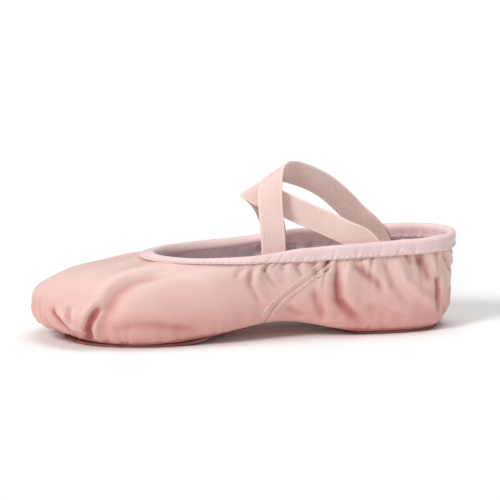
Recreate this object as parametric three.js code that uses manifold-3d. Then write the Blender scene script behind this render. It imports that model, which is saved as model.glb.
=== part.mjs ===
// A soft ballet slipper: a gathered satin upper lined with cotton, a bound and elasticated top line,
// two crossed elastic straps, and a split sole of two suede patches with padding above each.
// Millimetres, +Z up. The toe points to -X, the heel to +X, and the wearer's left is -Y.
// The origin is on the floor, under the middle of the slipper's own box.
import * as THREE from "three";
import { mergeVertices } from "three/addons/utils/BufferGeometryUtils.js";
import Module from "manifold-3d";

const wasm = await Module();
wasm.setup();

// ---- Driving sizes ----
const slipperLength = 236; // toe to the back of the heel
const ballWidth = 80; // over the widest part of the forefoot
const heelWidth = 56; // over the widest part of the heel
const openingWidth = 50; // across the top line at the instep
const toeHeight = 36; // top of the toe
const throatHeight = 44; // top line at the front of the opening
const backHeight = 49.5; // top line at the back of the heel, under the binding
const archLift = 7.5; // how far the arch stands off the floor
const solePatch = 1.6; // suede
const satin = 0.8; // outer cloth
const lining = 0.7; // cotton
const foamPad = 1.8; // fills the hole inside the gathered margin
const insole = 2; // cotton-covered pad
const lastingMargin = 12; // cloth turned in under the foot
const bindingCloth = 1; // each layer of the top line's binding
const bindingLegOutside = 4.4; // how far it reaches down the outside
const bindingLegInside = 3.6;
const cord = 1.8; // elastic cord in the binding
const strapWidth = 13.5;
const strapThickness = 1.1;
const strapTail = 10; // length sewn down inside the top line
const strapRise = 42; // from the top line to the crest over the instep
const strapFront = 13; // where the top strap's front end is sewn, from the middle of the slipper
const strapSpan = 52; // from there back to where the strap beneath is sewn
const thread = 0.8;
const seamAllowance = 3; // from a seam to its row of stitches
const backTapeWidth = 12;
const backTape = 0.6;
const gap = 0.3; // between neighbouring pieces
const easeGap = 0.5; // where a piece bends round its neighbour

// ---- Small helpers ----
const point = (x, y, z) => new THREE.Vector3(x, y, z);
const lerp = THREE.MathUtils.lerp;
const smooth = THREE.MathUtils.smoothstep;
const halfLength = slipperLength / 2;
const wall = satin + gap + lining;

// A closed curve through a half outline and its mirror image; t runs 0 at the first point, 1 all round.
function mirrored(halfPoints) {
  const across = halfPoints.slice(1, -1).reverse().map((p) => point(p.x, -p.y, p.z));
  return new THREE.CatmullRomCurve3([...halfPoints, ...across], true, "centripetal");
}

// A closed mesh from a list of quads, each four points in turn; quads that narrow to a triangle are kept.
function fromQuads(quads) {
  const places = [];
  const triangle = (a, b, c) => {
    const same = a.distanceTo(b) < 1e-5 || b.distanceTo(c) < 1e-5 || c.distanceTo(a) < 1e-5;
    if (!same) places.push(...a.toArray(), ...b.toArray(), ...c.toArray());
  };
  for (const [a, b, c, d] of quads) {
    triangle(a, b, c);
    triangle(a, c, d);
  }
  const geometry = new THREE.BufferGeometry();
  geometry.setAttribute("position", new THREE.BufferAttribute(new Float32Array(places), 3));
  const merged = mergeVertices(geometry, 1e-4);
  merged.computeVertexNormals();
  return merged;
}

// A thin panel between two faces given as functions of (a, b), each 0 to 1.
// The outer face points along (change with a) x (change with b).
function panel(outer, inner, stepsA, stepsB) {
  const quads = [];
  const face = (at, i, j) => at(i / stepsA, j / stepsB);
  const turned = ([p, q, r, s]) => [p, s, r, q];
  for (let i = 0; i < stepsA; i++)
    for (let j = 0; j < stepsB; j++) {
      const corners = [[i, j], [i + 1, j], [i + 1, j + 1], [i, j + 1]];
      quads.push(corners.map(([p, q]) => face(outer, p, q)));
      quads.push(turned(corners.map(([p, q]) => face(inner, p, q))));
    }
  for (let i = 0; i < stepsA; i++)
    for (const [j, turn] of [[0, false], [stepsB, true]]) {
      const side = [face(outer, i, j), face(inner, i, j), face(inner, i + 1, j), face(outer, i + 1, j)];
      quads.push(turn ? turned(side) : side);
    }
  for (let j = 0; j < stepsB; j++)
    for (const [i, turn] of [[0, true], [stepsA, false]]) {
      const side = [face(outer, i, j), face(inner, i, j), face(inner, i, j + 1), face(outer, i, j + 1)];
      quads.push(turn ? turned(side) : side);
    }
  return fromQuads(quads);
}

// A closed loop of a section: sectionAt(t) gives the section's corners at t, 0 to 1 round the loop.
function loop(sectionAt, steps) {
  const sections = Array.from({ length: steps }, (_, i) => sectionAt(i / steps));
  const quads = [];
  sections.forEach((here, i) => {
    const next = sections[(i + 1) % steps];
    here.forEach((corner, j) => {
      const k = (j + 1) % here.length;
      quads.push([corner, next[j], next[k], here[k]]);
    });
  });
  return fromQuads(quads);
}

// A regular section of a round cord about centre, in the plane of the directions u and w.
function roundSection(centre, u, w, radius, sides) {
  return Array.from({ length: sides }, (_, i) => {
    const angle = (2 * Math.PI * i) / sides;
    return centre.clone().addScaledVector(u, radius * Math.cos(angle)).addScaledVector(w, radius * Math.sin(angle));
  });
}

function toSolid(geometry) {
  const bare = geometry.clone();
  for (const name of Object.keys(bare.attributes)) if (name !== "position") bare.deleteAttribute(name);
  const merged = mergeVertices(bare, 1e-4);
  return new wasm.Manifold(new wasm.Mesh({
    numProp: 3,
    vertProperties: merged.attributes.position.array,
    triVerts: new Uint32Array(merged.index.array),
  }));
}

function cutAway(geometry, tool) {
  const mesh = toSolid(geometry).subtract(toSolid(tool)).getMesh();
  const made = new THREE.BufferGeometry();
  made.setAttribute("position", new THREE.BufferAttribute(mesh.vertProperties, 3));
  made.setIndex(new THREE.BufferAttribute(mesh.triVerts, 1));
  return made;
}

// ---- The shape of the foot ----
// Height of the sole line over the floor: flat under the ball and the heel, a cosine hump between.
const archTop = 0.1 * halfLength;
const archFront = -0.4 * halfLength;
const archBack = 0.6 * halfLength;
function archRise(x) {
  const reach = x < archTop ? archTop - archFront : archBack - archTop;
  const away = Math.min(1, Math.abs(x - archTop) / reach);
  return (archLift * (1 + Math.cos(Math.PI * away))) / 2;
}
const clothLevel = solePatch + gap; // underside of the upper above the sole line

// Four lines round the slipper, from the middle of the toe (0) by the left side to the middle of the heel (8).
// Each row is [share of the half length, share of the width there, height over the sole line's share, height].
const ball = ballWidth / 2;
const heel = heelWidth / 2;
const opening = openingWidth / 2;
const line = (rows) => mirrored(rows.map(([x, y, z]) => point(x * halfLength, -y, z)));

const featherShares = [-0.86, -0.825, -0.72, -0.49, -0.185, 0.155, 0.49, 0.855, 0.925];
const featherWidths = [0, 0.4 * ball, 0.7 * ball, 0.87 * ball, 0.79 * ball, 0.82 * heel, 0.84 * heel, 0.6 * heel, 0];
const featherRise = [2.6, 2.2, 1.3, 0.5, 0.6, 0.8, 0.6, 0.6, 1];
const feather = line(featherShares.map((x, i) =>
  [x, featherWidths[i], clothLevel + featherRise[i] + archRise(x * halfLength)]));

const bulge = line([
  [-1, 0, 19.5],
  [-0.948, 0.46 * ball, 18],
  [-0.79, 0.83 * ball, 16.5],
  [-0.49, ball, 16.5],
  [-0.185, 0.92 * ball, 17.5],
  [0.155, 1.03 * heel, 20.5],
  [0.49, heel, 18.5],
  [0.885, 0.68 * heel, 14],
  [0.962, 0, 12.5],
]);
const shoulder = line([
  [-0.89, 0, toeHeight - 3],
  [-0.845, 0.33 * ball, toeHeight - 3],
  [-0.7, 0.6 * ball, toeHeight - 1.8],
  [-0.44, 0.8 * ball, toeHeight - 0.5],
  [-0.17, 0.83 * ball, toeHeight - 1],
  [0.17, opening + 3, toeHeight],
  [0.525, opening + 2, toeHeight],
  [0.915, 0.57 * heel, toeHeight - 1],
  [0.98, 0, toeHeight - 1],
]);
const topLine = line([
  [-0.452, 0, throatHeight],
  [-0.43, 0.33 * opening, throatHeight],
  [-0.35, 0.66 * opening, throatHeight],
  [-0.205, 0.9 * opening, throatHeight + 0.2],
  [-0.02, opening, throatHeight + 1],
  [0.22, opening, throatHeight + 3],
  [0.56, 0.95 * opening, throatHeight + 4.5],
  [0.92, 0.62 * opening, backHeight - 0.3],
  [0.985, 0, backHeight],
]);

// A place round one of those lines; k is -8 to 8, negative on the wearer's right.
const round = 16;
const along = (curve, k) => curve.getPoint((((k / round) % 1) + 1) % 1);

// The turned-in edge under the foot: a margin inside the feather line, or the middle seam under the arch.
const toeSpine = -0.72 * halfLength;
const heelSpine = 0.72 * halfLength;
const marginEnds = { front: -0.3 * halfLength, back: 0.54 * halfLength };
const marginFade = 14;
function rimPoint(k) {
  const edge = along(feather, k);
  const spine = point(THREE.MathUtils.clamp(edge.x, toeSpine, heelSpine), 0, edge.z);
  const way = spine.sub(edge);
  const reach = way.length();
  const underArch = smooth(edge.x, marginEnds.front, marginEnds.front + marginFade)
    * (1 - smooth(edge.x, marginEnds.back - marginFade, marginEnds.back));
  const inset = lerp(Math.min(lastingMargin, reach - gap), reach - gap, underArch);
  const rim = edge.addScaledVector(way.normalize(), inset);
  return rim.setZ(clothLevel + archRise(rim.x));
}

// The outer face of the upper at (k, v); v is 0 at the turned-in edge, 0.25 at the feather line, 1 at the top line.
function surface(k, v) {
  const lines = [rimPoint(k), along(feather, k), along(bulge, k), along(shoulder, k), along(topLine, k)];
  const at = new THREE.CatmullRomCurve3(lines, false, "centripetal").getPoint(v);
  return at.setZ(Math.max(at.z, clothLevel + archRise(at.x)));
}

// That place with the outward normal and the direction up the cloth.
const nudge = 0.004;
function frameAt(k, v) {
  const at = surface(k, v);
  const around = surface(k + nudge, v).sub(surface(k - nudge, v));
  const up = surface(k, Math.min(1, v + nudge)).sub(surface(k, Math.max(0, v - nudge))).normalize();
  const out = around.cross(up).normalize();
  return { at, out, up };
}
const sunk = (k, v, depth) => {
  const { at, out } = frameAt(k, v);
  return at.addScaledVector(out, -depth);
};

// ---- Upper ----
// The slanting side seams join the forepart to the quarters: k of the seam at each of the five lines.
const seamLine = new THREE.CatmullRomCurve3(
  [4.72, 4.72, 4.86, 5.34, 5.53].map((k, i) => point(i / 4, k, 0)), false, "catmullrom", 0.5);
const seamAt = (v) => seamLine.getPoint(v).y;
const stepOf = (k, v, millimetres) =>
  millimetres / (surface(k + 0.05, v).distanceTo(surface(k - 0.05, v)) / 0.1);
const heelMiddle = round / 2;

const forepartPlace = (a, b) => {
  const end = seamAt(b) - stepOf(seamAt(b), b, gap);
  return [lerp(-end, end, a), b];
};
const quarterPlace = (side) => (a, b) => {
  const front = seamAt(b) + stepOf(seamAt(b), b, gap);
  const back = heelMiddle - stepOf(heelMiddle, b, gap);
  return side > 0 ? [lerp(front, back, a), b] : [lerp(-back, -front, a), b];
};
function clothPanel(place, depth, thickness, stepsA, stepsB) {
  return panel((a, b) => sunk(...place(a, b), depth), (a, b) => sunk(...place(a, b), depth + thickness),
    stepsA, stepsB);
}

// ---- Binding, cord and stitching of the top line ----
const bindingTop = 2 * easeGap + cord + bindingCloth; // above the edge of the cloth
const bindingRound = 1.2; // the fold at the top
const outsideLeg = easeGap + bindingCloth;
const insideLeg = -wall - easeGap - bindingCloth;
const bindingSection = [
  [outsideLeg, -bindingLegOutside],
  [outsideLeg, bindingTop - bindingRound],
  [outsideLeg - bindingRound, bindingTop],
  [insideLeg + bindingRound, bindingTop],
  [insideLeg, bindingTop - bindingRound],
  [insideLeg, -bindingLegInside],
  [-wall - easeGap, -bindingLegInside],
  [-wall - easeGap, bindingTop - bindingCloth],
  [easeGap, bindingTop - bindingCloth],
  [easeGap, -bindingLegOutside],
];
// A place beside the top line: out from the cloth's outer face, and up past its edge.
function besideTopLine(k, out, up) {
  const frame = frameAt(k, 1);
  return frame.at.addScaledVector(frame.out, out).addScaledVector(frame.up, up);
}
const topLineSteps = 84;
const bindingShape = () => loop((t) =>
  bindingSection.map(([out, up]) => besideTopLine(t * round, out, up)), topLineSteps);
const cordShape = () => loop((t) => {
  const { out, up } = frameAt(t * round, 1);
  return roundSection(besideTopLine(t * round, -wall / 2, easeGap + cord / 2), out, up, cord / 2, 6);
}, topLineSteps);
const bindingStitchShape = () => loop((t) => {
  const { out, up } = frameAt(t * round, 1);
  const centre = besideTopLine(t * round, outsideLeg + gap + thread / 2, -bindingLegOutside + 1);
  return roundSection(centre, out, up, thread / 2, 4);
}, topLineSteps);

// ---- Sole patches, foam and insoles ----
const flat = (curve, k, inset) => {
  const here = along(curve, k);
  const way = along(curve, k + 0.02).sub(along(curve, k - 0.02));
  const inward = point(way.y, -way.x, 0).normalize();
  return point(here.x + inward.x * -inset, here.y + inward.y * -inset, 0);
};
const flatten = (p) => point(p.x, p.y, 0);
// Half outlines that follow the feather line and close across the foot with a rounded end.
const patchInset = 1.4;
const forefootPatchEnd = 4.1; // k where the front patch leaves the feather line
const heelPatchStart = 5.95;
const roundEnd = 9; // how far the rounded end bows towards the arch
const forefootOutline = mirrored([
  ...[0, 0.5, 1, 1.5, 2, 2.5, 3, 3.5, 3.8].map((k) => flat(feather, k, patchInset)),
  point(along(feather, forefootPatchEnd).x, 0.72 * along(feather, forefootPatchEnd).y, 0),
  point(along(feather, forefootPatchEnd).x + roundEnd, 0, 0),
]);
const heelOutline = mirrored([
  point(along(feather, heelPatchStart).x - roundEnd, 0, 0),
  point(along(feather, heelPatchStart).x, 0.72 * along(feather, heelPatchStart).y, 0),
  ...[6.25, 6.6, 7, 7.4, 7.7, 8].map((k) => flat(feather, k, patchInset)),
]);

// A point on a closed outline moved inwards; the outlines run anticlockwise seen from above.
function insetPoint(outline, t, inset) {
  const at = outline.getPoint(((t % 1) + 1) % 1);
  const way = outline.getTangent(((t % 1) + 1) % 1);
  return point(at.x - way.y * inset, at.y + way.x * inset, 0);
}
// A pad inside an outline, from bottom to top over the sole line; it is woven from its edge to a spine.
function padShape(outline, inset, bottom, top, steps) {
  const edges = Array.from({ length: steps + 1 }, (_, i) => insetPoint(outline, i / steps, inset));
  const xs = edges.map((p) => p.x);
  const spineEnd = 14;
  const [low, high] = [Math.min(...xs) + spineEnd, Math.max(...xs) - spineEnd];
  const at = (i, share, height) => {
    const edge = edges[i];
    const x = lerp(THREE.MathUtils.clamp(edge.x, low, high), edge.x, share);
    return point(x, edge.y * share, height + archRise(x));
  };
  const quads = [];
  for (let i = 0; i < steps; i++) {
    for (const [inner, outer] of [[0, 0.5], [0.5, 1]]) {
      quads.push([at(i, inner, top), at(i, outer, top), at(i + 1, outer, top), at(i + 1, inner, top)]);
      quads.push([at(i, inner, bottom), at(i + 1, inner, bottom), at(i + 1, outer, bottom), at(i, outer, bottom)]);
    }
    quads.push([at(i, 1, bottom), at(i + 1, 1, bottom), at(i + 1, 1, top), at(i, 1, top)]);
  }
  return fromQuads(quads);
}
const channelInset = 3.5; // from the patch's edge to its sewing channel
const channelDepth = 1.1;
const channelWidth = 1.5;
const channelSteps = 56;
const underside = -1;
function channelShape(outline) {
  return loop((t) => [
    [-channelWidth / 2, underside], [channelWidth / 2, underside],
    [channelWidth / 2, channelDepth], [-channelWidth / 2, channelDepth],
  ].map(([side, height]) => {
    const at = insetPoint(outline, t, channelInset + side);
    return at.setZ(height + archRise(at.x));
  }).reverse(), channelSteps);
}
function channelThread(outline) {
  return loop((t) => {
    const at = insetPoint(outline, t, channelInset);
    const in_ = insetPoint(outline, t, channelInset + 1).sub(at).normalize();
    at.setZ(channelDepth - gap - thread / 2 + archRise(at.x));
    return roundSection(at, in_, point(0, 0, -1), thread / 2, 4);
  }, channelSteps);
}
const patchShape = (outline) => cutAway(padShape(outline, 0, 0, solePatch, 64), channelShape(outline));
// The foam fills the hole inside the gathered margin.
const foamFrontEnd = marginEnds.front - 6;
const foamBackStart = marginEnds.back + 6;
const forefootFoamOutline = mirrored([
  ...[0, 0.5, 1, 1.5, 2, 2.5].map((k) => flatten(rimPoint(k))),
  point(foamFrontEnd - 8, flatten(rimPoint(2.8)).y, 0),
  point(foamFrontEnd, 0, 0),
]);
const heelFoamOutline = mirrored([
  point(foamBackStart, 0, 0),
  point(foamBackStart + 3, 0.7 * flatten(rimPoint(6.8)).y, 0),
  ...[6.9, 7.3, 7.6, 8].map((k) => flatten(rimPoint(k))),
]);
const foamShape = (outline) => padShape(outline, 5 * gap, clothLevel, clothLevel + foamPad, 32);
const insoleInset = 8.2;
const insoleLevel = clothLevel + Math.max(wall, foamPad) + easeGap;
const insoleShape = (outline) => padShape(outline, insoleInset, insoleLevel, insoleLevel + insole, 40);

// ---- Seam stitching ----
// Threads lie just off the face they are sewn through.
function seamThread(side) {
  const rows = Array.from({ length: 13 }, (_, i) => {
    const v = lerp(0.3, 0.86, i / 12);
    const k = seamAt(v) - stepOf(seamAt(v), v, seamAllowance);
    return sunk(side * k, v, -(easeGap + thread / 2));
  });
  const section = new THREE.Shape().absarc(0, 0, thread / 2, 0, 2 * Math.PI);
  return new THREE.ExtrudeGeometry(section, {
    steps: 24, bevelEnabled: false, curveSegments: 3, extrudePath: new THREE.CatmullRomCurve3(rows),
  });
}
const tapePlace = (a, b) => {
  const v = lerp(0.42, 0.9, b);
  const reach = stepOf(heelMiddle, v, backTapeWidth / 2);
  return [lerp(heelMiddle - reach, heelMiddle + reach, a), v];
};

// ---- Crossed straps ----
// k of the cloth at a given x and v, on the left side.
function wallAt(x, v) {
  let [low, high] = [0, heelMiddle];
  for (let i = 0; i < 30; i++) {
    const middle = (low + high) / 2;
    if (surface(middle, v).x < x) low = middle;
    else high = middle;
  }
  return low;
}
const strapInset = -insideLeg + 3 * gap; // from the cloth's outer face to the strap's outer face
// A station of a strap: the middle of its thickness, as shares of strapSpan, half the opening and strapRise,
// and the direction across it, front edge to back edge.
const station = ([forth, side, rise], across) => ({
  centre: point(strapFront + forth * strapSpan, side * opening, throatHeight + 3 + rise * strapRise),
  across: point(...across).normalize(),
});
// A station sewn inside the top line at x, a distance up from the edge; tilt turns the strap in the wall's plane.
function sewnStation(side, x, up, tilt) {
  const v = Math.min(1, 1 + up / strapWall);
  const frame = frameAt(side * wallAt(x, v), v);
  const rise = point(0, 0, 1).addScaledVector(frame.out, -frame.out.z).normalize();
  const centre = frame.at.addScaledVector(frame.out, -strapInset - strapThickness / 2)
    .addScaledVector(rise, Math.max(0, up));
  const forward = rise.clone().cross(frame.out).multiplyScalar(side);
  const across = forward.multiplyScalar(Math.cos(tilt)).addScaledVector(rise, Math.sin(tilt));
  return { centre, across, inward: frame.out.clone().negate() };
}
const strapWall = 40; // height of cloth that one unit of v stands for near the top line

// The straps bend over one line along the crest of the instep.
const crest = [0.84, 0, 0.54];
const frontStagger = 7; // the strap beneath is sewn this much further back
const backStagger = 9; // and the top strap's back end this much
const tailSlant = 9; // how far back a tail runs
const backTilt = 0.85; // the straps slant back where they meet the quarters
const strapBack = strapFront + strapSpan;
// The strap on top rises from the left front, folds over the crest and runs down to the right back.
const topStrapStations = [
  sewnStation(1, strapFront, -strapTail, 0),
  sewnStation(1, strapFront, bindingTop, 0),
  station([-0.01, -0.72, 0.37], [1, 0, 0.05]),
  station([-0.015, -0.54, 0.667], [0.95, 0, 0.25]),
  station([0.01, -0.28, 0.895], crest),
  station([0.075, -0.02, 0.995], crest),
  station([0.21, 0.2, 0.975], [0.74, 0.05, 0.67]),
  station([0.44, 0.38, 0.87], [0.52, 0.08, 0.86]),
  station([0.66, 0.52, 0.71], [0.58, 0.08, 0.81]),
  station([0.85, 0.615, 0.5], [0.64, 0.06, 0.76]),
  station([1.01, 0.675, 0.285], [0.67, 0.02, 0.74]),
  sewnStation(-1, strapBack + backStagger, bindingTop, backTilt),
  sewnStation(-1, strapBack + backStagger + tailSlant, -strapTail, backTilt),
];
// The strap beneath rises from the right front and runs down to the left back. It passes under the other
// by a share of the straps' width.
const strapDrop = 0.45 * strapWidth;
function hung(place, across) {
  const made = station(place, across);
  made.centre.z -= strapDrop;
  return made;
}
const underStrapStations = [
  sewnStation(-1, strapFront + frontStagger, -strapTail, 0),
  sewnStation(-1, strapFront + frontStagger, bindingTop, 0),
  hung([0.09, 0.7, 0.4296], [1, 0, 0.08]),
  hung([-0.01, 0.46, 0.6796], [0.94, 0, 0.3]),
  hung([-0.127, 0.24, 0.8496], crest),
  hung([-0.18, 0.055, 0.9126], crest),
  hung([-0.088, -0.09, 0.8546], [0.74, 0, 0.67]),
  hung([0.145, -0.28, 0.7346], [0.5, 0, 0.86]),
  hung([0.52, -0.52, 0.5296], [0.44, 0, 0.9]),
  hung([0.77, -0.68, 0.3876], [0.53, 0, 0.85]),
  sewnStation(1, strapBack, bindingTop, backTilt),
  sewnStation(1, strapBack + tailSlant, -strapTail, backTilt),
];
const strapSteps = 48;
function strapShape(stations) {
  const middle = new THREE.CatmullRomCurve3(stations.map((s) => s.centre), false, "centripetal");
  const edge = new THREE.CatmullRomCurve3(stations.map((s) => s.across), false, "catmullrom", 0.5);
  const ribbon = (t) => {
    const way = middle.getTangent(t);
    const across = edge.getPoint(t).normalize();
    const face = way.clone().cross(across);
    return { centre: middle.getPoint(t), across: across.divideScalar(face.length()), face: face.normalize() };
  };
  const side = (sign) => (a, b) => {
    const { centre, across, face } = ribbon(a);
    return centre.addScaledVector(across, (b - 0.5) * strapWidth).addScaledVector(face, (sign * strapThickness) / 2);
  };
  return panel(side(1), side(-1), strapSteps, 2);
}
// A box of thread that fixes a strap's tail, on the strap's inner face.
const tackHalf = { across: 4, along: 2.5 };
function tackShape(tail, next) {
  const way = next.centre.clone().sub(tail.centre).normalize();
  const inward = tail.inward;
  const centre = tail.centre.clone().lerp(next.centre, 0.25)
    .addScaledVector(inward, strapThickness / 2 + easeGap + gap + thread / 2);
  const corners = [[-1, -1], [1, -1], [1, 1], [-1, 1]].map(([a, b]) => centre.clone()
    .addScaledVector(tail.across, a * tackHalf.across).addScaledVector(way, b * tackHalf.along));
  const path = new THREE.CatmullRomCurve3(corners, true, "catmullrom", 0.3);
  return loop((t) => {
    const across = inward.clone().cross(path.getTangent(t)).normalize();
    return roundSection(path.getPoint(t), inward, across, thread / 2, 4);
  }, 20);
}

// ---- Colours and the object ----
const material = (color, roughness) => new THREE.MeshStandardMaterial({ color, roughness, metalness: 0 });
const satinPink = material("#e3b1a5", 0.42);
const cottonGrey = material("#b79ea3", 0.9);
const bindingPink = material("#e9cbcb", 0.75);
const elasticPink = material("#e2c2ba", 0.8);
const suedePink = material("#b98079", 0.95);
const foamWhite = material("#e9e2d6", 0.95);
const threadPink = material("#f4d9d4", 0.6);

const slipper = new THREE.Group();
function add(name, geometry, look) {
  const mesh = new THREE.Mesh(geometry, look);
  mesh.name = name;
  slipper.add(mesh);
}

const liningDepth = satin + gap;
add("forepart", clothPanel(forepartPlace, 0, satin, 44, 14), satinPink);
add("forepart_lining", clothPanel(forepartPlace, liningDepth, lining, 44, 14), cottonGrey);
for (const [word, side] of [["left", 1], ["right", -1]]) {
  add(`${word}_quarter`, clothPanel(quarterPlace(side), 0, satin, 16, 12), satinPink);
  add(`${word}_quarter_lining`, clothPanel(quarterPlace(side), liningDepth, lining, 16, 12), cottonGrey);
  add(`${word}_seam_stitching`, seamThread(side), threadPink);
}
add("back_seam_tape", clothPanel(tapePlace, wall + easeGap, backTape, 4, 8), cottonGrey);
add("topline_binding", bindingShape(), bindingPink);
add("topline_elastic", cordShape(), elasticPink);
add("topline_stitching", bindingStitchShape(), threadPink);
add("top_strap", strapShape(topStrapStations), elasticPink);
add("under_strap", strapShape(underStrapStations), elasticPink);
for (const [word, stations] of [["top", topStrapStations], ["under", underStrapStations]]) {
  add(`${word}_strap_front_tack`, tackShape(stations[0], stations[1]), threadPink);
  add(`${word}_strap_back_tack`, tackShape(stations.at(-1), stations.at(-2)), threadPink);
}
const soles = [["forefoot", forefootOutline, forefootFoamOutline], ["heel", heelOutline, heelFoamOutline]];
for (const [word, outline, foamOutline] of soles) {
  add(`${word}_sole_patch`, patchShape(outline), suedePink);
  add(`${word}_sole_stitching`, channelThread(outline), threadPink);
  add(`${word}_foam_pad`, foamShape(foamOutline), foamWhite);
  add(`${word}_insole`, insoleShape(outline), cottonGrey);
}

// The origin is set on the floor, under the middle of the whole.
const extent = new THREE.Box3().setFromObject(slipper);
slipper.position.set(-extent.getCenter(point(0, 0, 0)).x, 0, -extent.min.z);

export default slipper;
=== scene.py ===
import bmesh
import bpy
import numpy as np
from bpy.props import FloatProperty, FloatVectorProperty, PointerProperty
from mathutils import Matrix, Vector


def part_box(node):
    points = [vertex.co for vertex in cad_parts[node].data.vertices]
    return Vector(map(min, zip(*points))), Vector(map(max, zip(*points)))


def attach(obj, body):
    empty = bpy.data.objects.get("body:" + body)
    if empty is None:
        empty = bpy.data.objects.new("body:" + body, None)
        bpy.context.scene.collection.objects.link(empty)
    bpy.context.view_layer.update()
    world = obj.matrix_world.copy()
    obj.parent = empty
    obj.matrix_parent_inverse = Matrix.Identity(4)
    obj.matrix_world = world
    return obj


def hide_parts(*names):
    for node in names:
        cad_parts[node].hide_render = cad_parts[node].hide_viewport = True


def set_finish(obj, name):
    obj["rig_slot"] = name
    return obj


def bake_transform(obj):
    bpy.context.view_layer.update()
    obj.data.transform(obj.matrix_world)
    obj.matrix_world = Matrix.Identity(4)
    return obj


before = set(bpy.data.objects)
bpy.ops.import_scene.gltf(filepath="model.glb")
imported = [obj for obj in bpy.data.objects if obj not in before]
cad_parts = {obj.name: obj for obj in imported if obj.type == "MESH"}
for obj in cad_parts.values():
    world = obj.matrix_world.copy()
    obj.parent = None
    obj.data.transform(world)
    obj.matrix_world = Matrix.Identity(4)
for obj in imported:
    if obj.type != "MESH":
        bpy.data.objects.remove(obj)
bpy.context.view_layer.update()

bl_info = {
    "name": "Soft ballet slipper",
    "version": (1, 0, 0),
    "blender": (4, 5, 0),
    "location": "View3D > Sidebar > Slipper",
    "description": "Makes the cloth, straps, soles and stitching of a soft ballet slipper over its frame",
    "category": "Object",
}

MM = 0.001
DOWN = np.array([[0.0, 0.0, -1.0]])
# Shapes are worked out in millimetres from the middle of the slipper's length; SHIFT puts them on the frame.
TOE_TO_MIDDLE = 0.118
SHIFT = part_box("forepart")[0].x + TOE_TO_MIDDLE


# ---- Sizes and colours ----


def length(name, description, default):
    """A size, in metres."""
    return FloatProperty(name=name, description=description, default=default, min=0.0, unit="LENGTH",
                         precision=5)


def colour(name, description, default):
    """A colour as red, green and blue, each 0 to 1."""
    return FloatVectorProperty(name=name, description=description, default=default, size=3, min=0.0,
                               max=1.0, subtype="COLOR")


class SlipperSizes(bpy.types.PropertyGroup):
    """Sizes of the slipper's cloth, straps and stitches."""

    length: length("Length", "Toe to the back of the heel", 0.236)
    ball_width: length("Ball width", "Over the widest part of the forefoot", 0.08)
    heel_width: length("Heel width", "Over the widest part of the heel", 0.056)
    opening_width: length("Opening width", "Across the top line at the instep", 0.05)
    toe_height: length("Toe height", "Top of the toe over the floor", 0.036)
    throat_height: length("Throat height", "Top line at the front of the opening", 0.044)
    back_height: length("Back height", "Top line at the back of the heel", 0.0495)
    arch_lift: length("Arch lift", "How far the arch stands off the floor", 0.0075)
    satin: length("Satin", "Thickness of the outer cloth", 0.0008)
    lining: length("Lining", "Thickness of the cotton inside", 0.0007)
    crease: FloatProperty(name="Crease", description="Depth of the creases, as a share of the usual depth",
                          default=1.0, min=0.0, max=2.0)
    strap_width: length("Strap width", "Width of the elastic straps", 0.0135)
    strap_thickness: length("Strap thickness", "Thickness of the elastic straps", 0.0011)
    rib: length("Rib", "From rib to rib across the elastic", 0.00105)
    thread: length("Thread", "Thickness of the sewing thread", 0.00055)
    stitch: length("Stitch", "Length of one stitch of the top line", 0.0024)


class SlipperColours(bpy.types.PropertyGroup):
    """Colours of the slipper's cloths and threads."""

    satin: colour("Satin", "Outer cloth", (0.78, 0.50, 0.435))
    # A painted shade: the satin is darkened with this colour low on its sides and in its creases, and the
    # binding in its gathers.
    satin_painted_shade: colour("Satin in folds", "Outer cloth deep in its folds", (0.47, 0.115, 0.11))
    binding: colour("Binding", "Tape round the top line", (0.88, 0.68, 0.67))
    cotton: colour("Cotton", "Lining and insole covers", (0.95, 0.81, 0.83))
    elastic: colour("Elastic", "Straps", (0.87, 0.66, 0.61))
    suede: colour("Suede", "Sole patches", (0.34, 0.14, 0.12))
    thread: colour("Thread", "Stitches", (0.93, 0.80, 0.76))
    # A painted highlight: the satin is paled with this colour higher up and on the ridges of its creases.
    satin_painted_highlight: colour("Satin painted highlight", "Outer cloth where it is drawn tight", (0.87, 0.67, 0.62))
    seam_thread: colour("Seam thread", "Zigzag stitches of the side seams", (0.90, 0.68, 0.63))
    foam: colour("Foam", "Padding under the insoles", (0.82, 0.77, 0.68))
    floor: colour("Floor", "The floor and the backdrop", (0.96, 0.96, 0.96))


# ---- Shape of the slipper ----


def smooth(x, low, high):
    """0 below low, 1 above high, and 3t^2 - 2t^3 between."""
    t = np.clip((x - low) / (high - low), 0.0, 1.0)
    return t * t * (3.0 - 2.0 * t)


def size_of(vectors):
    """The length of each vector, kept as a last axis of one."""
    return np.linalg.norm(vectors, axis=-1, keepdims=True)


def unit(vectors):
    """Each vector at length 1."""
    return vectors / np.maximum(size_of(vectors), 1e-12)


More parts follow.
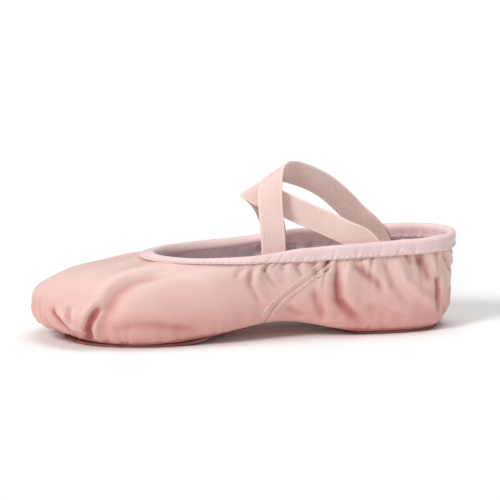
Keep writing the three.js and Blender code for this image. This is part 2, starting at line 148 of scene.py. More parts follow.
def curve(points, t, closed=False, tension=None):
    """A smooth curve through a row of points, at t from 0 to 1.

    Each span is the cubic that meets its two points with the slopes of a centripetal Catmull-Rom
    curve, or of a plain one where a tension is given. points is (n, 3), or (n, N, 3) for N curves
    that are each read at their own t.
    """
    p = np.asarray(points, float)
    t = np.asarray(t, float)
    if closed:
        place = (t % 1.0) * len(p)
        i = np.floor(place).astype(int)
        a, b, c, d = (p[(i + step) % len(p)] for step in (-1, 0, 1, 2))
    else:
        place = np.clip(t, 0.0, 1.0) * (len(p) - 1)
        i = np.minimum(np.floor(place).astype(int), len(p) - 2)
        row = np.concatenate([[2 * p[0] - p[1]], p, [2 * p[-1] - p[-2]]])
        which = (np.arange(len(t)),) if p.ndim == 3 else ()
        a, b, c, d = (row[(i + step, *which)] for step in (0, 1, 2, 3))
    w = (place - i)[..., None]
    if tension is None:
        root = [np.sqrt(size_of(y - x)) for x, y in ((a, b), (b, c), (c, d))]
        middle = np.where(root[1] < 1e-4, 1.0, root[1])
        before = np.where(root[0] < 1e-4, middle, root[0])
        after = np.where(root[2] < 1e-4, middle, root[2])
        start = ((b - a) / before - (c - a) / (before + middle) + (c - b) / middle) * middle
        end = ((c - b) / middle - (d - b) / (middle + after) + (d - c) / after) * middle
    else:
        start, end = tension * (c - a), tension * (d - b)
    return b + w * start + w**2 * (3 * (c - b) - 2 * start - end) + w**3 * (2 * (b - c) + start + end)


class Form:
    """The slipper's shape in millimetres: five lines round it and the cloth drawn over them.

    k runs round the slipper, 0 at the middle of the toe and 8 at the middle of the heel, negative
    on the wearer's right. v runs up the cloth: 0 at the edge turned in under the foot, 0.25 where
    the sole ends, 0.5 round the widest part, 0.75 at the shoulder and 1 at the top line.
    """

    def __init__(self, sizes):
        self.half = sizes.length * 500
        self.ball = sizes.ball_width * 500
        self.heel = sizes.heel_width * 500
        self.opening = sizes.opening_width * 500
        self.arch_lift = sizes.arch_lift * 1000
        ball, heel, opening = self.ball, self.heel, self.opening
        toe, throat, back = sizes.toe_height * 1000, sizes.throat_height * 1000, sizes.back_height * 1000
        self.throat = throat
        self.cloth = 1.9  # height of the cloth's outer face over the sole patches' undersides
        share = np.array([-0.86, -0.825, -0.72, -0.49, -0.185, 0.155, 0.49, 0.855, 0.925])
        width = np.array([0, 0.4 * ball, 0.7 * ball, 0.87 * ball, 0.79 * ball,
                          0.82 * heel, 0.84 * heel, 0.6 * heel, 0])
        rise = np.array([2.6, 2.2, 1.3, 0.5, 0.6, 0.8, 0.6, 0.6, 1.0])
        rise = self.cloth + rise + self.arch(share * self.half)
        self.feather = self.ring(np.stack([share, width, rise], 1))
        self.bulge = self.ring([
            [-1, 0, 19.5], [-0.948, 0.46 * ball, 18], [-0.79, 0.83 * ball, 16.5], [-0.49, ball, 16.5],
            [-0.185, 0.92 * ball, 17.5], [0.155, 1.03 * heel, 20.5], [0.49, heel, 18.5],
            [0.885, 0.68 * heel, 14], [0.962, 0, 12.5]])
        self.shoulder = self.ring([
            [-0.89, 0, toe - 3], [-0.845, 0.33 * ball, toe - 3], [-0.7, 0.6 * ball, toe - 1.8],
            [-0.44, 0.8 * ball, toe - 0.5], [-0.17, 0.83 * ball, toe - 1], [0.17, opening + 3, toe],
            [0.525, opening + 2, toe], [0.915, 0.57 * heel, toe - 1], [0.98, 0, toe - 1]])
        self.top = self.ring([
            [-0.452, 0, throat], [-0.43, 0.33 * opening, throat], [-0.35, 0.66 * opening, throat],
            [-0.205, 0.9 * opening, throat + 0.2], [-0.02, opening, throat + 1],
            [0.22, opening, throat + 3], [0.56, 0.95 * opening, throat + 4.5],
            [0.92, 0.62 * opening, back - 0.3], [0.985, 0, back]])

    def ring(self, rows):
        """The closed row of points for half an outline (share of the half length, width, height)."""
        rows = np.asarray(rows, float) * [self.half, -1, 1]
        return np.concatenate([rows, rows[-2:0:-1] * [1, -1, 1]])

    def arch(self, x):
        """Height of the sole line: a cosine hump, 0.4 of the half length before to 0.6 behind."""
        top = 0.1 * self.half
        away = np.minimum(1.0, np.abs(x - top) / (0.5 * self.half))
        return self.arch_lift * (1 + np.cos(np.pi * away)) / 2

    def along(self, ring, k):
        """The place on a ring at each k."""
        return curve(ring, np.asarray(k, float) / 16, closed=True)

    def rim(self, k):
        """The turned-in edge: a margin inside the feather line, meeting in the middle under the arch."""
        edge = self.along(self.feather, k)
        spine = np.clip(edge[:, 0], -0.72 * self.half, 0.72 * self.half)
        way = np.stack([spine - edge[:, 0], -edge[:, 1], 0 * spine], 1)
        reach = size_of(way)[:, 0]
        front, back = -0.3 * self.half, 0.54 * self.half
        under = smooth(edge[:, 0], front, front + 14) * (1 - smooth(edge[:, 0], back - 14, back))
        margin, gap = 12.0, 0.3
        inset = np.minimum(margin, reach - gap) * (1 - under) + (reach - gap) * under
        rim = edge + unit(way) * inset[:, None]
        rim[:, 2] = self.cloth + self.arch(rim[:, 0])
        return rim

    def surface(self, k, v):
        """The cloth's outer face at (k, v): a curve up through the five lines, kept over the sole."""
        k, v = np.broadcast_arrays(np.asarray(k, float), np.asarray(v, float))
        shape, k, v = k.shape, k.ravel(), v.ravel()
        rings = (self.feather, self.bulge, self.shoulder, self.top)
        lines = [self.rim(k), *(self.along(ring, k) for ring in rings)]
        at = curve(np.stack(lines), v)
        at[:, 2] = np.maximum(at[:, 2], self.cloth + self.arch(at[:, 0]))
        return at.reshape(*shape, 3)

    def frame(self, k, v):
        """The place at (k, v), the outward normal and the direction up the cloth."""
        step = 0.004
        around = self.surface(k + step, v) - self.surface(k - step, v)
        up = unit(self.surface(k, np.minimum(1, v + step)) - self.surface(k, np.maximum(0, v - step)))
        return self.surface(k, v), unit(np.cross(around, up)), up


# ---- Meshes from grids ----


def grid_quads(rows, cols, wrap_rows=False, wrap_cols=False):
    """The quads of a grid, as (row, column) of each corner before wrapping.

    A quad faces the way that rows x columns points.
    """
    i, j = np.meshgrid(np.arange(rows - (not wrap_rows)), np.arange(cols - (not wrap_cols)), indexing="ij")
    corner = [np.stack([i + a, j + b], -1).reshape(-1, 2) for a, b in ((0, 0), (1, 0), (1, 1), (0, 1))]
    return np.stack(corner, 1)


class Piece:
    """Gathers grids of points, in millimetres, with their weave coordinates and the painted shade and
    highlight of each point.
    """

    def __init__(self):
        self.points, self.quads, self.weave, self.painted_light = [], [], [], []
        self.count = 0

    def grid(self, points, weave=None, painted_light=None, wrap_rows=False, wrap_cols=False, flip=False):
        """Adds a grid. weave holds one more row or column than points where the grid wraps."""
        rows, cols = points.shape[:2]
        corners = grid_quads(rows, cols, wrap_rows, wrap_cols)
        if flip:
            corners = corners[:, ::-1]
        quads = self.count + (corners[..., 0] % rows) * cols + corners[..., 1] % cols
        if weave is None:
            a, b = np.meshgrid(np.arange(rows + 1.0), np.arange(cols + 1.0), indexing="ij")
            weave = np.stack([a, b], -1)
        self.points.append(points.reshape(-1, 3))
        self.quads.append(quads)
        self.weave.append(weave[corners[..., 0], corners[..., 1]])
        self.painted_light.append(np.zeros(rows * cols) if painted_light is None else np.asarray(painted_light).ravel())
        first = self.count
        self.count += rows * cols
        return first

    def strip(self, ring_a, ring_b):
        """Joins two closed rings of points already added, quad by quad."""
        quads = np.stack([ring_a, np.roll(ring_a, -1), np.roll(ring_b, -1), ring_b], 1)
        self.quads.append(quads)
        self.weave.append(np.zeros((len(quads), 4, 2)))

    def shell(self, outer, inner, weave, painted_light):
        """A thin panel: an outer grid, an inner one behind it and a strip round their edges."""
        rows, cols = outer.shape[:2]
        first = self.grid(outer, weave, painted_light)
        second = self.grid(inner, weave, painted_light, flip=True)
        index = np.arange(rows * cols).reshape(rows, cols)
        ring = np.concatenate([index[:-1, 0], index[-1, :-1], index[:0:-1, -1], index[0, :0:-1]])
        self.strip(first + ring[::-1], second + ring[::-1])

    def make(self, name, look, slot, merge=0.0):
        """Makes the object, smooth and in metres, and gives it the look of that name and its slot."""
        points = np.concatenate(self.points) * MM
        points[:, 0] += SHIFT
        quads = np.concatenate(self.quads)
        mesh = bpy.data.meshes.new(name)
        mesh.from_pydata(points.tolist(), [], quads.tolist())
        weave = mesh.uv_layers.new(name="weave")
        weave.data.foreach_set("uv", np.concatenate(self.weave).astype(np.float32).ravel())
        # This attribute holds the painted shade, below 0, and painted highlight, above 0, of each point.
        value = mesh.attributes.new("painted_light", "FLOAT", "POINT")
        value.data.foreach_set("value", np.concatenate(self.painted_light).astype(np.float32))
        mesh.polygons.foreach_set("use_smooth", np.ones(len(quads), bool))
        if merge:
            close_seams(mesh, merge)
        mesh.materials.append(look_named(look))
        mesh.update()
        piece = bpy.data.objects.new(name, mesh)
        bpy.context.scene.collection.objects.link(piece)
        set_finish(piece, slot)
        return piece

    def make_bending(self, name, look, slot, node=None):
        """Makes an object with its transform baked into its points, in the place of a node of the frame if
        there is one.
        """
        made = self.make(name, look, slot)
        across_arch(made)
        if node:
            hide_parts(node)


def close_seams(mesh, distance):
    """Merges the points that lie on each other, where a grid's rows meet on a middle line."""
    work = bmesh.new()
    work.from_mesh(mesh)
    bmesh.ops.remove_doubles(work, verts=work.verts, dist=distance)
    work.to_mesh(mesh)
    work.free()


def across_arch(piece):
    """Bakes the piece's transform into its points."""
    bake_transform(piece)


def arc(points):
    """The distance along a row of points."""
    return np.concatenate([[0.0], np.cumsum(np.linalg.norm(np.diff(points, axis=0), axis=-1))])


def circle(out, up, sides):
    """Round each place, the directions out cos a + up sin a at evenly spaced a."""
    angle = np.linspace(0, 2 * np.pi, sides, endpoint=False)[:, None]
    return out[..., None, :] * np.cos(angle) + up[..., None, :] * np.sin(angle)


def in_turn(count, even=-1.0, odd=1.0):
    """One number and the other, in turn."""
    return np.where(np.arange(count) % 2, odd, even)


def stitches(piece, start, end, out, radius, lift):
    """Adds separate stitches: each a tapered thread from start to end, bowed outwards by lift.

    Along a stitch s runs 0 to 1: the place is start + s (end - start) + lift sin(pi s) out, and the
    thread's radius is radius (1 - (2s - 1)^6)^(1/2), closed to a point at both ends.
    """
    s = np.array([0.0, 0.08, 0.3, 0.5, 0.7, 0.92, 1.0])
    side = unit(np.cross(unit(end - start), out))
    thick = radius * np.sqrt(np.maximum(0.0, 1 - (2 * s - 1) ** 6)) + 1e-3
    place = (start[:, None] + (end - start)[:, None] * s[None, :, None]
             + (lift * np.sin(np.pi * s))[None, :, None] * out[:, None])
    points = place[:, :, None] + thick[None, :, None, None] * circle(side, out, 6)[:, None]
    n, rows, cols = points.shape[:3]
    corners = grid_quads(rows, cols, wrap_cols=True)
    thread = corners[..., 0] * cols + corners[..., 1] % cols
    cap = np.array([[0, 1, 2, 3], [0, 3, 4, 5]])  # a six-sided end, as two quads
    caps = np.concatenate([cap, (rows - 1) * cols + cap[:, ::-1]])
    each = np.arange(n)[:, None, None] * rows * cols
    quads = np.concatenate([(each + thread[None]).reshape(-1, 4), (each + caps[None]).reshape(-1, 4)])
    along = (s[:, None] * np.linalg.norm(end - start, axis=1).mean() * np.ones((1, cols))).ravel()
    flat = np.stack([np.tile(along, n), np.tile(np.tile(np.arange(cols) * radius, rows), n)], 1)
    piece.points.append(points.reshape(-1, 3))
    piece.quads.append(quads + piece.count)
    piece.weave.append(flat[quads])
    piece.painted_light.append(np.zeros(n * rows * cols))
    piece.count += n * rows * cols


# ---- Creases ----


def bell(x, middle, width):
    """1 at the middle and less on both sides: exp(-((x - middle) / width)^2)."""
    return np.exp(-(((x - middle) / width) ** 2))


def ripple(points, wavelength, seed):
    """Soft unevenness, about -1 to 1: a sum of eight sine waves in directions drawn from a seed."""
    draw = np.random.default_rng(seed)
    way = unit(draw.normal(size=(8, 3)))
    scale = wavelength * draw.uniform(0.7, 1.5, 8)
    phase = draw.uniform(0, 2 * np.pi, 8)
    return np.sin(2 * np.pi * (points @ way.T) / scale + phase).sum(-1) / 4


def crease(points, out, path, depth, width, lip):
    """A valley along a path on the cloth, with a raised lip on its left.

    s is the signed distance across the path, positive on its left seen from outside. The height is
    -depth bell(s, 0, width) + lip bell(s, 1.7 width, 1.3 width), fading to nothing over the first and
    last quarter of the path.
    """
    span = arc(path)
    nearest = np.full(points.shape[:-1], 1e9)
    signed, share = np.zeros_like(nearest), np.zeros_like(nearest)
    for a, b, at, to in zip(path[:-1], path[1:], span[:-1], span[1:]):
        way = (b - a) / (to - at)
        t = np.clip((points - a) @ way, 0, to - at)
        off = points - (a + t[..., None] * way)
        distance = np.linalg.norm(off, axis=-1)
        closer = distance < nearest
        left = np.sum(np.cross(out, way) * off, axis=-1)
        nearest = np.where(closer, distance, nearest)
        signed = np.where(closer, np.sign(left) * distance, signed)
        share = np.where(closer, (at + t) / span[-1], share)
    fade = smooth(share, -0.02, 0.25) * (1 - smooth(share, 0.75, 1.02))
    return fade * (lip * bell(signed, 1.7 * width, 1.3 * width) - depth * bell(signed, 0, width))


# ---- The upper ----

# Where the slanting side seam crosses the cloth, as k at five evenly spaced v.
SEAM = np.array([4.72, 4.72, 4.86, 5.34, 5.53])
# Millimetres for each unit of k, beside the side seams and beside the back seam.
SIDE_SEAM_SCALE, BACK_SEAM_SCALE = 26.0, 17.0

# Creases on the left side: path as (k, v), depth, half width and lip, in millimetres.
TOE_CREASES = [
    ([(0.70, 0.50), (0.84, 0.42), (1.10, 0.31), (1.18, 0.26)], 1.9, 1.5, 0.9),
    ([(1.06, 0.60), (1.18, 0.51), (1.34, 0.44), (1.48, 0.36), (1.54, 0.28)], 2.0, 1.8, 1.0),
    ([(1.30, 0.50), (1.42, 0.41), (1.53, 0.27)], 2.2, 1.3, 0.8),
    ([(1.55, 0.60), (1.60, 0.51), (1.64, 0.43)], 1.3, 1.4, 0.7),
    ([(2.20, 0.62), (2.10, 0.51), (1.96, 0.41), (1.80, 0.31), (1.72, 0.22)], 4.4, 2.1, 1.3),
    ([(0.22, 0.64), (0.30, 0.52), (0.38, 0.40), (0.42, 0.30)], 1.0, 1.4, 0.5),
    ([(0.48, 0.62), (0.58, 0.50), (0.70, 0.38), (0.78, 0.28)], 1.3, 1.3, 0.7),
    ([(0.02, 0.60), (0.04, 0.48), (0.08, 0.34)], 0.8, 1.4, 0.4),
    ([(1.66, 0.42), (1.68, 0.34), (1.66, 0.26)], 1.4, 1.1, 0.6),
    ([(0.0, 0.40), (0.35, 0.38), (0.75, 0.36)], -1.3, 5.0, 0.0),
]
VAMP_CREASES = [
    ([(2.13, 0.24), (2.15, 0.36), (2.27, 0.50), (2.35, 0.60), (2.40, 0.69), (2.50, 0.77), (2.66, 0.84),
      (2.95, 0.89)], 3.3, 4.6, 1.6),
    ([(2.18, 0.33), (2.45, 0.405), (2.82, 0.46), (3.12, 0.45), (3.56, 0.385), (3.85, 0.32)], 1.4, 3.4, 0.6),
    ([(3.3, 0.74), (3.7, 0.66), (4.1, 0.58)], 0.6, 4.0, 0.2),
]
QUARTER_CREASES = [
    ([(7.32, 0.955), (7.55, 0.915), (7.78, 0.875), (8.02, 0.86)], 3.2, 2.2, 1.2),
    ([(7.62, 0.84), (7.80, 0.80), (8.00, 0.79)], 1.7, 1.6, 0.8),
    ([(7.50, 0.62), (7.62, 0.52), (7.70, 0.40)], 1.8, 2.0, 0.6),
    ([(4.36, 0.93), (4.39, 0.85), (4.50, 0.70), (4.66, 0.52)], 1.8, 1.9, 0.8),
    ([(4.57, 0.93), (4.61, 0.85), (4.72, 0.77), (4.88, 0.65)], 1.8, 1.6, 0.8),
    ([(4.16, 0.93), (4.18, 0.86), (4.24, 0.76)], 1.0, 1.6, 0.4),
    ([(4.80, 0.94), (4.84, 0.88), (4.92, 0.80)], 1.3, 1.4, 0.5),
    ([(5.00, 0.94), (5.04, 0.89), (5.12, 0.81), (5.24, 0.72)], 1.7, 1.5, 0.7),
    ([(5.23, 0.95), (5.27, 0.90), (5.34, 0.80), (5.45, 0.70)], 2.0, 1.5, 0.9),
    ([(5.47, 0.94), (5.48, 0.86), (5.51, 0.76)], 2.0, 1.6, 0.8),
    ([(5.62, 0.95), (5.65, 0.82), (5.69, 0.67), (5.75, 0.53), (5.92, 0.43), (6.16, 0.31)], 3.4, 2.7, 1.5),
    ([(5.84, 0.95), (5.90, 0.82), (6.05, 0.74), (6.20, 0.67), (6.34, 0.57)], 2.8, 2.3, 1.2),
    ([(6.33, 0.95), (6.40, 0.80), (6.50, 0.67), (6.66, 0.60), (6.86, 0.53), (7.16, 0.44)], -2.4, 2.8, 0.0),
    ([(6.20, 0.92), (6.26, 0.80), (6.38, 0.64), (6.60, 0.52)], 1.7, 2.2, 0.2),
    ([(6.43, 0.96), (6.49, 0.88), (6.56, 0.79)], 1.5, 1.2, 0.6),
    ([(6.55, 0.94), (6.64, 0.84), (6.74, 0.76), (6.90, 0.65)], 2.9, 2.7, 0.8),
    ([(6.92, 0.72), (6.98, 0.62), (7.02, 0.52), (7.10, 0.42)], 3.6, 1.8, 1.1),
    ([(5.00, 0.48), (5.10, 0.42), (5.27, 0.31)], 2.0, 2.1, 0.6),
    ([(5.36, 0.65), (5.42, 0.56), (5.50, 0.44), (5.60, 0.30)], 2.1, 2.5, 0.7),
    ([(7.02, 0.95), (7.10, 0.86), (7.34, 0.77), (7.66, 0.72), (7.98, 0.71)], 3.1, 1.9, 1.0),
    ([(7.36, 0.95), (7.52, 0.87), (7.80, 0.82)], 1.8, 1.2, 0.8),
    ([(7.66, 0.95), (7.76, 0.89), (7.94, 0.86)], 1.3, 1.0, 0.5),
    ([(7.20, 0.52), (7.45, 0.43), (7.84, 0.38)], 1.7, 2.2, 0.7),
    ([(6.1, 0.50), (6.35, 0.44), (6.62, 0.35)], 1.4, 2.4, 0.4),
]

# Each group's rows, how far along k and how much shallower they are on the right side, and how much of
# their depth is painted into the colour as shade and highlight.
CREASE_GROUPS = [
    (TOE_CREASES, 0.13, 0.8, 1.5), (VAMP_CREASES, 0.25, 0.6, 0.8), (QUARTER_CREASES, 0.11, 0.75, 0.5),
]

# Gathers on both sides of an edge: seed, first and last place along it, pitch, depth, half width, length
# and slant.
QUARTER_GATHERS = (11, 58, 187, 5.2, 1.7, 1.5, 16, 0.32)
THROAT_GATHERS = (31, 4, 58, 7.5, 0.16, 1.8, 6, 0.1)
TOE_TUCKS = (31, 1, 60, 5.2, 2.1, 1.5, 13, 0.25)
SOLE_TUCKS = (41, 60, 238, 8.0, 0.6, 1.8, 8, 0.2)


def seam_k(v):
    """Where the slanting side seam crosses the cloth at each v."""
    return curve(np.stack([np.linspace(0, 1, 5), SEAM], 1), v, tension=0.5)[..., 1]


def flutes(u, h, rows):
    """Small gathers: each is a valley that runs down from an edge.

    u is the distance along the edge and h the distance from it. Each row is the place along the edge,
    depth, half width, length and slant: the height is -depth (g(s) - 0.6 g(s, twice as wide))
    exp(-(h/length)^1.6), with s = u - place - slant h and g a bell curve.
    """
    height = np.zeros_like(u)
    for place, depth, width, reach, slant in rows:
        s = (u - place - slant * h) / width
        height -= depth * (bell(s, 0, 1) - 0.6 * bell(s, 0, 2)) * np.exp(-((h / reach) ** 1.6))
    return height


def gather_rows(seed, first, last, pitch, depth, width, reach, slant):
    """Rows for flutes(), unevenly spaced between first and last, drawn from a seed."""
    draw = np.random.default_rng(seed)
    count = int((last - first) / pitch)
    place = first + (np.arange(count) + draw.uniform(0.1, 0.9, count)) * pitch
    vary = [draw.uniform(0.45, 1.3, count) for _ in range(3)]
    return np.stack([place, depth * vary[0], width * vary[1], reach * vary[2],
                     slant + draw.uniform(-0.25, 0.25, count)], 1)


def gathers(u, h, numbers, mirrored=False):
    """Gathers on both sides; the right side's have the next seed, and lean the other way if mirrored."""
    height = np.zeros_like(u)
    for side, seed in ((1, numbers[0]), (-1, numbers[0] + 1)):
        rows = gather_rows(seed, *numbers[1:])
        rows[:, 0] *= side
        if mirrored:
            rows[:, 4] *= side
        height += flutes(u, h, rows)
    return height


def edge_places(form, ring, k):
    """The distance along a ring from its middle front to each k, the same on both sides."""
    steps = np.linspace(0, 8, 400)
    return np.interp(np.abs(k), steps, arc(form.along(ring, steps)))


def beside_edge(form, ring, k, at):
    """How far along a ring each place is, negative on the right, and how far it is from the ring."""
    along = edge_places(form, ring, k) * np.where(k < 0, -1.0, 1.0)
    away = np.linalg.norm(at - form.along(ring, k.ravel()).reshape(at.shape), axis=-1)
    return along, away


def top_puckers(form, k):
    """How far the gathered cloth pushes the binding in and out, in millimetres, at each k."""
    u = edge_places(form, form.top, k) * np.sign(k)
    push = np.zeros_like(u)
    for seed, first, last in ((5, 62, 186), (6, -186, -62)):
        push += flutes(u, np.zeros_like(u), gather_rows(seed, first, last, 7.5, 0.55, 2.0, 20, 0))
    return push + 0.12 * ripple(np.stack([u, 0 * u, 0 * u], -1), 9.0, 7)


def creases(form, k, v, at, out, strength):
    """Height of the cloth over the form, and the tint of its painted shade and highlight, both in
    millimetres.

    The height is the sum of slow waves, gathers at both edges, the creases and the seams. The tint is
    that height with broad creases counted for less: painted shade below 0 and painted highlight above 0,
    with more painted shade along the sole line and just under the binding.
    """
    top_u, top_h = beside_edge(form, form.top, k, at)
    low_u, low_h = beside_edge(form, form.feather, k, at)
    clear = smooth(top_h, 1.0, 8.0)
    upper = smooth(v, 0.25, 0.42)
    height = (0.75 * ripple(at, 46.0, 1) + 0.28 * ripple(at, 19.0, 2)) * clear * upper
    back = smooth(np.abs(top_u), 60, 78)
    height += 0.3 * ripple(at, 11.0, 3) * clear * upper * (0.25 + 0.75 * back)
    drawn_in = gathers(top_u, top_h, QUARTER_GATHERS, mirrored=True) + gathers(top_u, top_h, THROAT_GATHERS)
    height += drawn_in * smooth(top_h, 1.5, 6.0)
    toe = 1 - smooth(np.abs(low_u), 42, 60)
    height += gathers(low_u, low_h, TOE_TUCKS) * smooth(v, 0.2, 0.27) * toe
    height += gathers(low_u, low_h, SOLE_TUCKS) * smooth(v, 0.22, 0.3)
    tint = height.copy()
    blunt = 2.0 * bell(v, 0.405, 0.055) + 1.5 * bell(v, 0.63, 0.07) - 0.7 * bell(v, 0.51, 0.04)
    height = height + blunt * (1 - smooth(np.abs(k), 0.4, 1.6))
    for rows, shift, share, deep in CREASE_GROUPS:
        for path, depth, width, lip in rows:
            k_path, v_path = np.array(path).T
            for side, move, part in ((1, 0.0, 1.0), (-1, shift, share)):
                points = form.surface(side * (k_path + move), v_path)
                near = (k >= 0) == (side > 0)
                bend = part * crease(at[near], out[near] * side, points, depth, width, lip)
                height[near] += bend * smooth(v[near], 0.2, 0.3)
                # The crease's depth goes into the tint as painted shade in its valley and painted highlight
                # on its lip.
                tint[near] += bend * smooth(v[near], 0.2, 0.23) * deep * min(1.0, (3.2 / width) ** 0.9)
    apart = (np.abs(k) - seam_k(v)) * SIDE_SEAM_SCALE
    allowance = 0.22 * bell(apart, -1.2, 2.4) - 0.28 * bell(apart, 0, 0.45)
    height += allowance * smooth(v, 0.28, 0.4) * smooth(top_h, 2, 6)
    behind = (8 - np.abs(k)) * BACK_SEAM_SCALE
    height += (0.3 * bell(behind, 2.2, 1.4) - 0.5 * bell(behind, 0, 0.6)) * smooth(v, 0.28, 0.4)
    under = 0.12 * ripple(at, 8.0, 4) * (1 - smooth(v, 0.2, 0.3)) * smooth(v, 0.0, 0.06)
    waist = smooth(at[..., 0], -18, -2) * (1 - smooth(at[..., 0], 42, 56))
    # Painted shade along the sole line, where the cloth meets the sole patches, lighter under the arch.
    tint = tint - (1 - 0.8 * waist) * (3.0 * bell(low_h, 0, 1.3) + 1.2 * bell(low_h, 0, 4.0))
    # Painted shade in a band just under the binding's lower edge.
    tint = tint - 0.9 * bell(top_h, 5.6, 0.8)
    edges = (0.15 + 0.85 * smooth(v, 0.18, 0.28)) * smooth(top_h, 0.6, 3.0)
    return strength * (height * edges + under), tint


def cloth_places(form, k, v):
    """Where the cloth lies: place on the form, outward normal, height of the creases and the tint of their
    painted shade and highlight.
    """
    at, out, _ = form.frame(k, v)
    height, tint = creases(form, k, v, at, out, bpy.context.scene.slipper_sizes.crease)
    height = np.where(v < 0.26, np.minimum(height, 0.25), height)
    return at, out, height, tint


def layer(places, depth):
    """The face of a cloth at a depth under the outer cloth's face."""
    at, out, height, _ = places
    return at + out * (height - depth)[..., None]


def panel(form, name, look, slot, node, k_edges, depth, thickness, rows, cols):
    """One panel of cloth. k_edges(v) gives the panel's first and last k; v runs over the whole cloth."""
    v = np.linspace(0, 1, cols)[None, :] * np.ones((rows, 1))
    first, last = k_edges(v[0])
    k = first + (last - first) * np.linspace(0, 1, rows)[:, None]
    places = cloth_places(form, k, v)
    outer, inner = layer(places, depth), layer(places, depth + thickness)
    along = arc(outer[:, cols // 2])[:, None] * np.ones((1, cols))
    steps = np.linalg.norm(np.diff(outer, axis=1), axis=-1)
    up = np.cumsum(np.concatenate([np.zeros((rows, 1)), steps], 1), 1)
    piece = Piece()
    piece.shell(outer, inner, np.stack([along, up], -1), places[3])
    piece.make_bending(name, look, slot, node)


def panels():
    """Each panel's name and its first and last k at each v, with a hair's breadth left at the seams."""
    hair = 0.003
    return {
        "forepart": lambda v: (-seam_k(v) + hair, seam_k(v) - hair),
        "left_quarter": lambda v: (seam_k(v) + hair, np.full_like(v, 8 - hair)),
        "right_quarter": lambda v: (np.full_like(v, -8 + hair), -seam_k(v) - hair),
    }


def new_form():
    """The slipper's shape at the sizes in the sidebar."""
    return Form(bpy.context.scene.slipper_sizes)


class MakeUpper(bpy.types.Operator):
    """Make the satin forepart and the two quarters, creased and gathered"""

    bl_idname = "slipper.upper"
    bl_label = "Satin upper"

    def execute(self, context):
        form = new_form()
        thickness = context.scene.slipper_sizes.satin * 1000
        for name, edges in panels().items():
            rows = 300 if name == "forepart" else 190
            panel(form, name + "_satin", "creased_satin", "satin", name, edges, 0.0, thickness, rows, 150)
        return {"FINISHED"}


class MakeLining(bpy.types.Operator):
    """Make the cotton lining of each panel and the tape over the back seam"""

    bl_idname = "slipper.lining"
    bl_label = "Cotton lining"

    def execute(self, context):
        form = new_form()
        sizes = context.scene.slipper_sizes
        depth, thickness = sizes.satin * 1000 + 0.3, sizes.lining * 1000
        for name, edges in panels().items():
            rows = 180 if name == "forepart" else 100
            panel(form, name + "_cotton", "woven_cotton", "cotton_lining", name + "_lining", edges, depth,
                  thickness, rows, 90)
        rows, cols, half_width = 14, 60, 0.34
        v = np.linspace(0.42, 0.9, cols)[None, :] * np.ones((rows, 1))
        k = 8 + np.linspace(-1, 1, rows)[:, None] * half_width * np.ones((1, cols))
        places = cloth_places(form, k, v)
        inside = depth + thickness + 0.25
        tape = Piece()
        outer, inner = layer(places, inside), layer(places, inside + 0.6)
        tape.shell(outer, inner, np.stack([k * 18, v * 70], -1), places[3])
        tape.make_bending("back_seam_cotton_tape", "woven_cotton", "cotton_lining", "back_seam_tape")
        return {"FINISHED"}


# ---- The top line ----

# The binding's section: out from the cloth's outer face, and up past its edge.
BINDING_SECTION = [
    (1.5, -4.5), (1.62, -3.2), (1.72, -1.2), (1.95, 0.8), (1.75, 2.4), (0.9, 3.5), (-0.6, 3.95), (-2.1, 3.6),
    (-3.2, 2.5), (-3.55, 0.9), (-3.35, -1.2), (-3.3, -3.0), (-3.2, -3.7), (-2.45, -3.7), (-2.35, -2.0),
    (-2.3, 0.4), (-2.1, 2.0), (-1.2, 2.75), (-0.2, 2.75), (0.35, 2.0), (0.5, 0.4), (0.55, -2.0), (0.6, -4.5),
]


def top_line_frames(form, count):
    """Evenly spaced places round the top line: k, place, outward normal, up the cloth, distance round."""
    steps = np.linspace(-8, 8, 2001)
    span = arc(form.along(form.top, steps))
    k = np.interp(np.arange(count) / count * span[-1], span, steps)
    at, out, up = form.frame(k, np.ones(count))
    return k, at, out, up, np.arange(count + 1) / count * span[-1]


def beside_top_line(form, k, at, out, up, outward, upward):
    """A place beside the top line, moved in and out with the gathered cloth and a little up and down."""
    low = smooth(-np.asarray(upward, float), -3.0, 3.5)
    push = top_puckers(form, k) * (0.25 + 0.75 * low)
    wave = 0.22 * ripple(at, 21.0, 8)
    return at + out * (outward + push)[..., None] + up * (upward + wave)[..., None]


